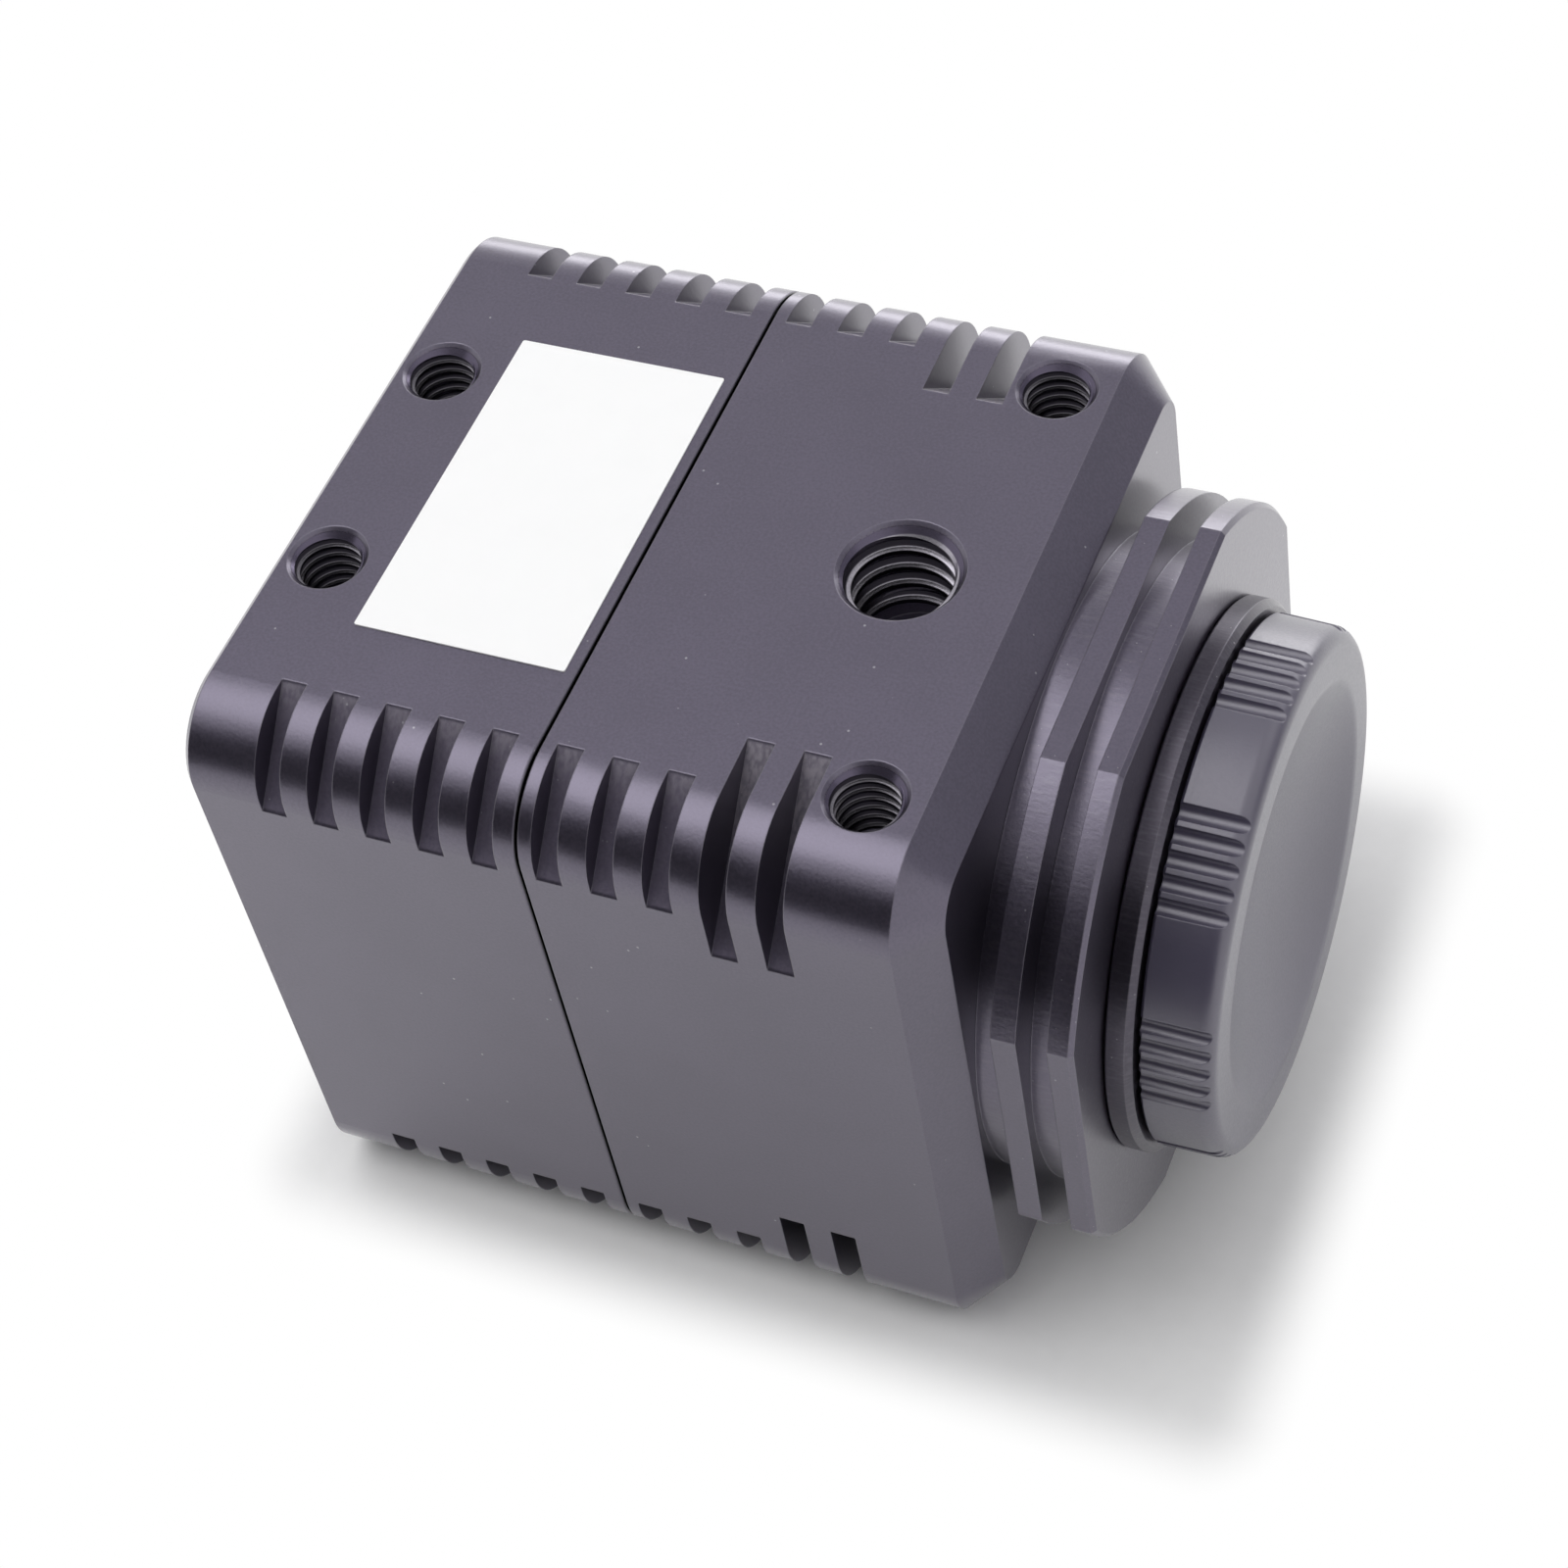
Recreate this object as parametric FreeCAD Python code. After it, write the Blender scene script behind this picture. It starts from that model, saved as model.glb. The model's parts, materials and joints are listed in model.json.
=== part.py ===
import FreeCAD, Part
import math
import os

# Machine vision camera. +X is the lens side, +Z the face with the threaded mounting holes.
# The origin is the centre of the plain face that the camera rests on. All sizes in millimetres.

# Body, two shells end to end
body_width = 40.0
body_height = 40.0
body_length = 40.7
edge_radius = 4.4
joint_from_rear = 18.95
joint_gap = 0.12
shell_edge_break = 0.10
rear_edge_break = 0.35
front_chamfer_depth = 2.0
front_chamfer_inset = 2.2
lip_length = 1.6
lip_thickness = 0.7
lip_clearance = 0.05

# Cooling slots across the four long edges
slot_width = 1.45
slot_pitch = 3.0
slots_per_shell = 5
first_slot_from_rear = 4.25
first_slot_from_joint = 0.87
slot_reach = 4.9
long_slot_reach = 7.8
long_slot_count = 2

# Threaded holes in the top face, cut at the thread's major radius
tripod_hole_radius = 3.175
tripod_hole_from_rear = 32.2
tripod_countersink_radius = 3.4
tripod_hole_depth = 5.0
screw_hole_radius = 2.0
screw_countersink_radius = 2.2
screw_hole_depth = 4.9
front_holes_from_rear = 35.7
front_hole_spacing = 28.0
rear_holes_from_rear = 2.75
rear_hole_spacing = 14.0
countersink_angle = 45.0
drill_point_angle = 59.0

# Label on the rear shell's top face
label_length = 12.0
label_width = 21.1
label_thickness = 0.08
label_to_joint = 0.65
label_side_offset = -0.3

# Finned neck
fin_count = 2
fin_thickness = 1.33
fin_gap = 1.6
fin_radius = 19.9
fin_flat = 18.15
fin_edge_break = 0.25
neck_radius = 17.4

# Lens mount ring and what it screws into
mount_ring_radius = 15.0
mount_ring_thickness = 1.44
mount_ring_standoff = 0.06
mount_ring_edge_break = 0.12
mount_ring_land_break = 0.35
mount_ring_barrel_radius = 13.95
mount_ring_barrel_length = 4.6
mount_thread_radius = 12.7
mount_thread_length = 4.1
mount_thread_chamfer = 0.5
mount_ring_throat_radius = 11.9
screw_fit_clearance = 0.05
flange_focal_distance = 17.526

# Throat with its filter
throat_radius = 11.6
filter_thickness = 1.0
filter_clearance = 0.10
filter_seat_ahead_of_sensor = 4.9
retainer_thickness = 1.4
retainer_width = 1.7
retainer_notch_width = 1.6
retainer_notch_depth = 0.7
aperture_width = 13.0
aperture_height = 10.0
aperture_corner_radius = 1.5

# Dust cap
cap_standoff = 0.18
cap_thickness = 3.90
cap_radius = 14.4
cap_draft = 0.08
cap_rim_round = 0.95
cap_rear_break = 0.15
cap_boss_length = 3.4
cap_thread_clearance = 0.07
cap_boss_wall = 1.4
cap_web_thickness = 1.1
cap_dish_radius = 11.2
cap_dish_depth = 2.7
cap_dish_lip_round = 0.4
groove_groups = 8
grooves_per_group = 5
groove_pitch_angle = 4.8
groove_group_offset_angle = 33.5
groove_width = 0.92
groove_depth = 0.42

# Electronics cavity
roof_thickness = 7.4
side_wall = 3.8
floor_wall = 4.0
rear_wall = 3.0
cavity_low_corner_cut = 5.0
cavity_high_corner_cut = 1.0
sensor_to_front_wall = 1.1

# Sensor and boards
sensor_size = 12.4
sensor_thickness = 1.4
sensor_well_size = 9.4
sensor_well_depth = 0.6
sensor_die_width = 7.2
sensor_die_height = 4.8
sensor_die_thickness = 0.32
sensor_window_size = 10.6
sensor_window_thickness = 0.5
gasket_size = 17.0
gasket_clearance = 0.30
board_thickness = 1.2
board_to_wall = 0.7
front_gap_share = 0.46
interface_board_from_rear = 11.7
board_hole_side_inset = 3.6
board_hole_floor_inset = 6.0
board_hole_roof_inset = 2.6
board_hole_radius = 1.1
board_boss_radius = 2.3
spacer_across_flats = 4.0
spacer_stud_radius = 1.0
board_screw_head_radius = 1.9
board_screw_head_height = 1.3
board_screw_length = 3.6
screw_socket_across_flats = 1.5
screw_socket_depth = 0.8
processor_size = 15.0
processor_thickness = 1.7
memory_width = 8.0
memory_height = 10.0
memory_thickness = 1.0
memory_spacing = 12.0
board_link_width = 18.0
board_link_height = 3.4
board_link_offset = 10.2
board_link_overlap = 1.6
board_link_wall = 0.8
inductor_size = 4.8
inductor_height = 3.0
inductor_spacing = 7.0
inductor_offset = 8.0
capacitor_count = 3
capacitor_radius = 1.6
capacitor_height = 2.8
capacitor_spacing = 4.2
capacitor_offset = 8.8

# Screws that hold the shells together
housing_screw_radius = 1.0
housing_screw_hole_clearance = 0.10
housing_screw_head_radius = 1.9
housing_screw_head_height = 1.6
housing_screw_sink = 2.0
housing_screw_reach = 5.5
housing_screw_inset = 4.6

# Rear panel: data receptacle, round control receptacle, status light
data_width = 12.4
data_height = 2.9
data_wall = 0.3
data_bevel = 0.8
data_notch_width = 0.5
data_notch_height = 0.8
data_notch_offset = 1.9
data_rise = 0.4
data_offset_z = 7.0
data_opening_clearance = 0.3
data_opening_radius = 0.6
data_mouth_depth = 5.0
data_insert_clearance = 0.03
data_tongue_thickness = 0.7
data_tongue_setback = 1.0
data_tongue_to_wall = 0.55
data_contacts_per_tongue = 5
data_contact_width = 0.35
data_contact_length = 3.0
data_contact_thickness = 0.08
data_contact_pitch = 0.65
data_lock_spacing = 18.5
data_lock_radius = 1.0
data_lock_depth = 2.4
control_y = -5.0
control_above_floor = 8.6
control_barrel_radius = 6.0
control_bore_radius = 5.1
control_flange_radius = 7.3
control_flange_thickness = 1.0
control_barrel_length = 8.5
control_clearance = 0.10
control_key_width = 1.4
control_key_height = 0.5
control_insert_depth = 5.6
control_insert_clearance = 0.05
control_pin_radius = 0.4
control_pin_length = 3.8
control_outer_pins = 9
control_outer_pin_circle = 3.4
control_inner_pins = 3
control_inner_pin_circle = 1.4
control_nut_across_flats = 14.5
control_nut_thickness = 1.8
light_from_side = 10.0
light_radius = 1.25
light_flange_radius = 1.9
light_flange_thickness = 0.8
light_rise = 0.3
light_clearance = 0.05

# Levels and stations worked out from the sizes above
half_width = body_width / 2
axis_z = body_height / 2
rear_face = -body_length / 2
front_face = rear_face + body_length
joint_plane = rear_face + joint_from_rear
rear_shell_end = joint_plane - joint_gap / 2
front_shell_start = joint_plane + joint_gap / 2
neck_front = front_face + fin_count * (fin_gap + fin_thickness)
ring_rear = neck_front + mount_ring_standoff
flange_plane = ring_rear + mount_ring_thickness
ring_barrel_end = ring_rear - mount_ring_barrel_length
sensor_plane = flange_plane - flange_focal_distance
filter_seat = sensor_plane + filter_seat_ahead_of_sensor
retainer_rear = filter_seat + filter_thickness
cap_rear = flange_plane + cap_standoff
cap_front = cap_rear + cap_thickness
cavity_front = sensor_plane + sensor_to_front_wall
cavity_rear = rear_face + rear_wall
cavity_half_width = half_width - side_wall
cavity_low = floor_wall
cavity_high = body_height - roof_thickness
sensor_front = sensor_plane + sensor_well_depth - sensor_die_thickness
sensor_board_front = sensor_front - sensor_thickness
sensor_board_rear = sensor_board_front - board_thickness
interface_board_rear = rear_face + interface_board_from_rear
interface_board_front = interface_board_rear + board_thickness
board_gaps = sensor_board_rear - interface_board_front - board_thickness
processor_board_front = sensor_board_rear - front_gap_share * board_gaps
processor_board_rear = processor_board_front - board_thickness
data_z = axis_z + data_offset_z
data_front = rear_face - data_rise
data_floor = data_front + data_mouth_depth
control_z = cavity_low + control_above_floor
light_y = half_width - light_from_side
light_z = control_z
control_front = rear_face - control_flange_thickness
control_insert_front = control_front + control_insert_depth
control_end = rear_face + control_barrel_length

ALONG_X = FreeCAD.Vector(1, 0, 0)
ALONG_Z = FreeCAD.Vector(0, 0, 1)


# Basic forms

def cylinder_x(radius, start, end, y=0.0, z=axis_z):
    return Part.makeCylinder(radius, end - start, FreeCAD.Vector(start, y, z), ALONG_X)


def block(x_range, y_range, z_range):
    corner = FreeCAD.Vector(x_range[0], y_range[0], z_range[0])
    size = [pair[1] - pair[0] for pair in (x_range, y_range, z_range)]
    return Part.makeBox(size[0], size[1], size[2], corner)


def centred_block(start, end, width, height, y=0.0, z=axis_z):
    return block((start, end), (y - width / 2, y + width / 2), (z - height / 2, z + height / 2))


def polygon_prism(points, start, end):
    vectors = [FreeCAD.Vector(start, y, z) for y, z in points]
    wire = Part.makePolygon(vectors + [vectors[0]])
    return Part.Face(wire).extrude(FreeCAD.Vector(end - start, 0, 0))


def rounded_outline(x, half_y, z_low, z_high, radius):
    turn = radius * (1 - math.sqrt(0.5))
    corners = [(half_y, z_low, -1, 1), (half_y, z_high, -1, -1),
               (-half_y, z_high, 1, -1), (-half_y, z_low, 1, 1)]
    edges = []
    previous = None
    first = None
    for index, (y, z, inward_y, inward_z) in enumerate(corners):
        beside = FreeCAD.Vector(x, y + inward_y * radius, z)
        above = FreeCAD.Vector(x, y, z + inward_z * radius)
        middle = FreeCAD.Vector(x, y + inward_y * turn, z + inward_z * turn)
        start, end = (beside, above) if index % 2 == 0 else (above, beside)
        if previous is not None:
            edges.append(Part.LineSegment(previous, start).toShape())
        edges.append(Part.Arc(start, middle, end).toShape())
        first = first or start
        previous = end
    edges.append(Part.LineSegment(previous, first).toShape())
    return Part.Wire(edges)


def rounded_prism(start, end, half_y, z_low, z_high, radius):
    outline = rounded_outline(start, half_y, z_low, z_high, radius)
    return Part.Face(outline).extrude(FreeCAD.Vector(end - start, 0, 0))


def turned(edges):
    axis_point = FreeCAD.Vector(0, 0, axis_z)
    return Part.Face(Part.Wire(edges)).revolve(axis_point, ALONG_X, 360)


def profile_point(x, radius):
    return FreeCAD.Vector(x, 0, axis_z + radius)


def turned_profile(points):
    vectors = [profile_point(x, radius) for x, radius in points]
    closed = vectors + [vectors[0]]
    return turned(Part.makePolygon(closed).Edges)


def corner_signs():
    return [(side, level) for side in (-1, 1) for level in (-1, 1)]


def hexagon_prism(across_flats, start, end, y, z):
    corner = across_flats / math.sqrt(3)
    turns = [math.radians(60 * index) for index in range(6)]
    points = [(y + corner * math.cos(turn), z + corner * math.sin(turn)) for turn in turns]
    return polygon_prism(points, start, end)


# Outer form of the two shells

def body_slab(start, end, inset=0.0):
    half_y = half_width - inset
    return rounded_prism(start, end, half_y, inset, body_height - inset, edge_radius - inset)


def body_taper(start, start_inset, end, end_inset):
    outlines = []
    for x, inset in ((start, start_inset), (end, end_inset)):
        half_y = half_width - inset
        radius = edge_radius - inset
        outlines.append(rounded_outline(x, half_y, inset, body_height - inset, radius))
    return Part.makeLoft(outlines, True, True)


def corner_slot(start, reach, side, level):
    spare = edge_radius
    top = body_height / 2
    points = [(half_width - reach, top), (half_width - reach, top + spare),
              (half_width + spare, top + spare), (half_width + spare, top - reach),
              (half_width, top - reach)]
    placed = [(side * y, axis_z + level * z) for y, z in points]
    return polygon_prism(placed, start, start + slot_width)


def shell_slots(first, long_from):
    cuts = []
    for index in range(slots_per_shell):
        reach = long_slot_reach if index >= long_from else slot_reach
        for side, level in corner_signs():
            cuts.append(corner_slot(first + index * slot_pitch, reach, side, level))
    return cuts


def cavity(start, end, inset=0.0):
    half_y = cavity_half_width - inset
    low = cavity_low + inset
    high = cavity_high - inset
    low_cut = cavity_low_corner_cut
    high_cut = cavity_high_corner_cut
    right = [(half_y - low_cut, low), (half_y, low + low_cut), (half_y, high - high_cut),
             (half_y - high_cut, high)]
    left = [(-y, z) for y, z in reversed(right)]
    return polygon_prism(right + left, start, end)


# Threaded holes of the top face

def threaded_hole(from_rear, y, radius, depth, countersink_radius):
    x = rear_face + from_rear
    sink_depth = (countersink_radius - radius) / math.tan(math.radians(countersink_angle))
    point_depth = radius / math.tan(math.radians(drill_point_angle))
    floor = body_height - depth
    bore = Part.makeCylinder(radius, depth, FreeCAD.Vector(x, y, floor), ALONG_Z)
    sink_base = FreeCAD.Vector(x, y, body_height - sink_depth)
    sink = Part.makeCone(radius, countersink_radius, sink_depth, sink_base, ALONG_Z)
    tip_base = FreeCAD.Vector(x, y, floor - point_depth)
    tip = Part.makeCone(0, radius, point_depth, tip_base, ALONG_Z)
    return bore.fuse([sink, tip])


def screw_hole_pair(from_rear, spacing):
    holes = []
    for side in (-1, 1):
        holes.append(threaded_hole(from_rear, side * spacing / 2, screw_hole_radius,
                                   screw_hole_depth, screw_countersink_radius))
    return holes


# Screws through the corners

def housing_screw_places():
    across = half_width - housing_screw_inset
    upwards = axis_z - housing_screw_inset
    return [(side * across, axis_z + level * upwards) for side, level in corner_signs()]


def housing_screw_passages():
    shank = housing_screw_radius + housing_screw_hole_clearance
    head = housing_screw_head_radius + housing_screw_hole_clearance
    cuts = []
    for y, z in housing_screw_places():
        cuts.append(cylinder_x(shank, rear_face, rear_shell_end, y, z))
        cuts.append(cylinder_x(head, rear_face, rear_face + housing_screw_sink, y, z))
    return cuts


def socket_screw(head_start, head_radius, head_height, shank_radius, shank_end, y, z):
    shank_start = head_start + head_height
    head = cylinder_x(head_radius, head_start, shank_start, y, z)
    shank = cylinder_x(shank_radius, shank_start, shank_end, y, z)
    socket_end = head_start + screw_socket_depth
    socket = hexagon_prism(screw_socket_across_flats, head_start, socket_end, y, z)
    return head.fuse(shank).cut(socket)


def housing_screws():
    head_start = rear_face + housing_screw_sink - housing_screw_head_height
    end = front_shell_start + housing_screw_reach
    solids = []
    for y, z in housing_screw_places():
        solids.append(socket_screw(head_start, housing_screw_head_radius,
                                   housing_screw_head_height, housing_screw_radius, end, y, z))
    return Part.makeCompound(solids)


# Rear cover

def rear_cover():
    break_start = rear_shell_end - shell_edge_break
    shell = body_taper(rear_face, rear_edge_break, rear_face + rear_edge_break, 0.0)
    shell = shell.fuse(body_slab(rear_face + rear_edge_break, break_start))
    shell = shell.fuse(body_taper(break_start, 0.0, rear_shell_end, shell_edge_break))
    lip_room = rear_shell_end - lip_length
    cuts = [cavity(cavity_rear, rear_shell_end)]
    cuts.append(cavity(lip_room, rear_shell_end, -lip_thickness))
    cuts += shell_slots(rear_face + first_slot_from_rear, slots_per_shell)
    cuts += screw_hole_pair(rear_holes_from_rear, rear_hole_spacing)
    cuts += housing_screw_passages()
    cuts.append(data_opening())
    cuts += data_lock_holes()
    control_hole = control_barrel_radius + control_clearance
    cuts.append(cylinder_x(control_hole, rear_face, cavity_rear, control_y, control_z))
    light_hole = light_radius + light_clearance
    cuts.append(cylinder_x(light_hole, rear_face, cavity_rear, light_y, light_z))
    return shell.cut(cuts).removeSplitter()


# Front housing with its finned neck

def fins():
    solids = []
    for index in range(fin_count):
        start = front_face + fin_gap + index * (fin_gap + fin_thickness)
        end = start + fin_thickness
        disc = cylinder_x(fin_radius, start, end)
        solids.append(disc.common(centred_block(start, end, 2 * fin_flat, 2 * fin_flat)))
    foremost = solids.pop()
    rim = [edge for edge in foremost.Edges if edge.BoundBox.XMin > neck_front - fin_edge_break]
    solids.append(foremost.makeChamfer(fin_edge_break, rim))
    return solids


def board_places():
    across = cavity_half_width - board_hole_side_inset
    levels = (cavity_low + board_hole_floor_inset, cavity_high - board_hole_roof_inset)
    return [(side * across, z) for side in (-1, 1) for z in levels]


def board_bosses():
    return [cylinder_x(board_boss_radius, sensor_board_front, cavity_front, y, z)
            for y, z in board_places()]


def board_screw_holes():
    end = sensor_board_front + board_screw_length + screw_fit_clearance
    radius = spacer_stud_radius + screw_fit_clearance
    return [cylinder_x(radius, sensor_board_front, end, y, z) for y, z in board_places()]


def front_housing():
    break_end = front_shell_start + shell_edge_break
    chamfer_start = front_face - front_chamfer_depth
    shell = body_taper(front_shell_start, shell_edge_break, break_end, 0.0)
    shell = shell.fuse(body_slab(break_end, chamfer_start))
    shell = shell.fuse(body_taper(chamfer_start, 0.0, front_face, front_chamfer_inset))
    lip_start = rear_shell_end - lip_length + joint_gap
    lip = cavity(lip_start, front_shell_start, lip_clearance - lip_thickness)
    core = cylinder_x(neck_radius, front_face, neck_front)
    shell = shell.fuse([lip, core] + fins())
    ring_bore = mount_ring_barrel_radius + screw_fit_clearance
    barrel_room = ring_barrel_end - screw_fit_clearance
    cuts = [cavity(lip_start, cavity_front)]
    cuts.append(cylinder_x(ring_bore, barrel_room, neck_front))
    cuts.append(cylinder_x(throat_radius, filter_seat, barrel_room))
    cuts.append(rounded_prism(cavity_front, filter_seat, aperture_width / 2,
                              axis_z - aperture_height / 2, axis_z + aperture_height / 2,
                              aperture_corner_radius))
    cuts += shell_slots(joint_plane + first_slot_from_joint, slots_per_shell - long_slot_count)
    cuts.append(threaded_hole(tripod_hole_from_rear, 0.0, tripod_hole_radius,
                              tripod_hole_depth, tripod_countersink_radius))
    cuts += screw_hole_pair(front_holes_from_rear, front_hole_spacing)
    for y, z in housing_screw_places():
        hole_end = front_shell_start + housing_screw_reach + housing_screw_hole_clearance
        hole = housing_screw_radius + screw_fit_clearance
        cuts.append(cylinder_x(hole, front_shell_start, hole_end, y, z))
    housing = shell.cut(cuts).fuse(board_bosses())
    return housing.cut(board_screw_holes()).removeSplitter()


# Lens mount ring, filter and its retainer

def mount_ring():
    flange_front = flange_plane - mount_ring_land_break
    thread_end = flange_plane - mount_thread_length
    bore_mouth = mount_thread_radius + mount_thread_chamfer
    outer = mount_ring_radius
    return turned_profile([
        (ring_rear, outer - mount_ring_edge_break),
        (ring_rear + mount_ring_edge_break, outer),
        (flange_front, outer),
        (flange_plane, outer - mount_ring_land_break),
        (flange_plane, bore_mouth),
        (flange_plane - mount_thread_chamfer, mount_thread_radius),
        (thread_end, mount_thread_radius),
        (thread_end, mount_ring_throat_radius),
        (ring_barrel_end, mount_ring_throat_radius),
        (ring_barrel_end, mount_ring_barrel_radius),
        (ring_rear, mount_ring_barrel_radius)])


def filter_glass():
    return cylinder_x(throat_radius - filter_clearance, filter_seat, retainer_rear)


def filter_retainer():
    outer = throat_radius - screw_fit_clearance
    end = retainer_rear + retainer_thickness
    ring = cylinder_x(outer, retainer_rear, end)
    ring = ring.cut(cylinder_x(outer - retainer_width, retainer_rear, end))
    notch = centred_block(end - retainer_notch_depth, end, retainer_notch_width, 2 * outer)
    return ring.cut(notch)


# Dust cap

def cap_profile():
    side_front = cap_radius - cap_draft
    rim_start = cap_front - cap_rim_round
    rim_inner = side_front - cap_rim_round
    turn = cap_rim_round * math.sqrt(0.5)
    lip_turn = cap_dish_lip_round * math.sqrt(0.5)
    lip_edge = cap_dish_radius + cap_dish_lip_round
    dish_start = cap_front - cap_dish_lip_round
    bowl_depth = cap_dish_depth - cap_dish_lip_round
    bowl_radius = (cap_dish_radius ** 2 + bowl_depth ** 2) / (2 * bowl_depth)
    bowl_centre = dish_start - bowl_depth + bowl_radius
    half_dish = cap_dish_radius / 2
    half_x = bowl_centre - math.sqrt(bowl_radius ** 2 - half_dish ** 2)
    boss_radius = mount_thread_radius - cap_thread_clearance
    inner_radius = boss_radius - cap_boss_wall
    inner_end = cap_front - cap_dish_depth - cap_web_thickness
    boss_end = cap_rear - cap_boss_length
    lines = [
        (boss_end, inner_radius), (boss_end, boss_radius), (cap_rear, boss_radius),
        (cap_rear, cap_radius - cap_rear_break), (cap_rear + cap_rear_break, cap_radius),
        (rim_start, side_front)]
    points = [profile_point(x, radius) for x, radius in lines]
    edges = [Part.LineSegment(a, b).toShape() for a, b in zip(points, points[1:])]
    rim_end = profile_point(cap_front, rim_inner)
    rim_middle = profile_point(rim_start + turn, rim_inner + turn)
    edges.append(Part.Arc(points[-1], rim_middle, rim_end).toShape())
    lip_start = profile_point(cap_front, lip_edge)
    edges.append(Part.LineSegment(rim_end, lip_start).toShape())
    lip_end = profile_point(dish_start, cap_dish_radius)
    lip_middle = profile_point(dish_start + lip_turn, lip_edge - lip_turn)
    edges.append(Part.Arc(lip_start, lip_middle, lip_end).toShape())
    dish_middle = profile_point(half_x, half_dish)
    dish_end = profile_point(dish_start - bowl_depth, 0)
    edges.append(Part.Arc(lip_end, dish_middle, dish_end).toShape())
    inside = [(dish_start - bowl_depth, 0), (inner_end, 0), (inner_end, inner_radius),
              (boss_end, inner_radius)]
    corners = [profile_point(x, radius) for x, radius in inside]
    edges += [Part.LineSegment(a, b).toShape() for a, b in zip(corners, corners[1:])]
    return edges


def grip_groove(angle):
    half = groove_width / 2
    radius = (half ** 2 + groove_depth ** 2) / (2 * groove_depth)
    height = axis_z + cap_radius - groove_depth + radius
    groove = cylinder_x(radius, cap_rear - radius, cap_front + radius, 0.0, height)
    groove.rotate(FreeCAD.Vector(0, 0, axis_z), ALONG_X, angle - 90)
    return groove


def dust_cap():
    grooves = []
    middle = (grooves_per_group - 1) / 2
    for group in range(groove_groups):
        centre = groove_group_offset_angle + group * 360.0 / groove_groups
        for index in range(grooves_per_group):
            grooves.append(grip_groove(centre + (index - middle) * groove_pitch_angle))
    return turned(cap_profile()).cut(grooves)


# Sensor stack

def sensor_package():
    body = centred_block(sensor_board_front, sensor_front, sensor_size, sensor_size)
    well = centred_block(sensor_front - sensor_well_depth, sensor_front,
                         sensor_well_size, sensor_well_size)
    return body.cut(well)


def sensor_die():
    rear = sensor_front - sensor_well_depth
    return centred_block(rear, rear + sensor_die_thickness, sensor_die_width, sensor_die_height)


def sensor_window():
    end = sensor_front + sensor_window_thickness
    return centred_block(sensor_front, end, sensor_window_size, sensor_window_size)


def sensor_gasket():
    opening = sensor_size + 2 * gasket_clearance
    frame = centred_block(sensor_board_front, cavity_front, gasket_size, gasket_size)
    return frame.cut(centred_block(sensor_board_front, cavity_front, opening, opening))


def board(start):
    plate = cavity(start, start + board_thickness, board_to_wall)
    hole_end = start + board_thickness
    return plate.cut([cylinder_x(board_hole_radius, start, hole_end, y, z)
                      for y, z in board_places()])


def spacers(start, end, stud_end):
    solids = []
    for y, z in board_places():
        post = hexagon_prism(spacer_across_flats, start, end, y, z)
        stud = cylinder_x(spacer_stud_radius, end, stud_end, y, z)
        bore_end = start + board_screw_length
        bore = cylinder_x(spacer_stud_radius + screw_fit_clearance, start, bore_end, y, z)
        solids.append(post.fuse(stud).cut(bore))
    return Part.makeCompound(solids)


def front_spacers():
    stud_end = sensor_board_front + board_screw_length - screw_fit_clearance
    return spacers(processor_board_front, sensor_board_rear, stud_end)


def rear_spacers():
    stud_end = processor_board_front + board_screw_length - board_thickness
    return spacers(interface_board_front, processor_board_rear, stud_end)


def board_screws():
    head_start = interface_board_rear - board_screw_head_height
    end = interface_board_front + board_screw_length - screw_fit_clearance
    solids = []
    for y, z in board_places():
        solids.append(socket_screw(head_start, board_screw_head_radius,
                                   board_screw_head_height, spacer_stud_radius, end, y, z))
    return Part.makeCompound(solids)


def processor_chip():
    end = processor_board_front + processor_thickness
    return centred_block(processor_board_front, end, processor_size, processor_size)


def memory_chips():
    start = processor_board_rear - memory_thickness
    solids = []
    for side in (-1, 1):
        y = side * memory_spacing / 2
        solids.append(centred_block(start, processor_board_rear, memory_width, memory_height, y))
    return Part.makeCompound(solids)


def link_pair(low, high):
    middle = (low + high) / 2
    z = axis_z - board_link_offset
    inner_width = board_link_width - 2 * board_link_wall
    inner_height = board_link_height - 2 * board_link_wall
    socket_end = middle + board_link_overlap / 2
    tongue_start = middle - board_link_overlap / 2
    socket = centred_block(low, socket_end, board_link_width, board_link_height, 0.0, z)
    socket = socket.cut(centred_block(tongue_start, socket_end, inner_width, inner_height, 0.0, z))
    base = centred_block(socket_end, high, board_link_width, board_link_height, 0.0, z)
    tongue_width = inner_width - 2 * filter_clearance
    tongue_height = inner_height - 2 * filter_clearance
    tongue = centred_block(tongue_start, socket_end, tongue_width, tongue_height, 0.0, z)
    return socket, base.fuse(tongue)


def board_links():
    pairs = [link_pair(processor_board_front, sensor_board_rear),
             link_pair(interface_board_front, processor_board_rear)]
    sockets = Part.makeCompound([pair[0] for pair in pairs])
    plugs = Part.makeCompound([pair[1] for pair in pairs])
    return sockets, plugs


def power_inductors():
    end = interface_board_front + inductor_height
    solids = []
    for side in (-1, 1):
        y = side * inductor_spacing / 2
        z = axis_z + inductor_offset
        solids.append(centred_block(interface_board_front, end, inductor_size, inductor_size, y, z))
    return Part.makeCompound(solids)


def capacitors():
    solids = []
    z = axis_z + capacitor_offset
    start = sensor_board_rear - capacitor_height
    for index in range(capacitor_count):
        y = (index - (capacitor_count - 1) / 2) * capacitor_spacing
        solids.append(cylinder_x(capacitor_radius, start, sensor_board_rear, y, z))
    return Part.makeCompound(solids)


# Data receptacle

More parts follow.
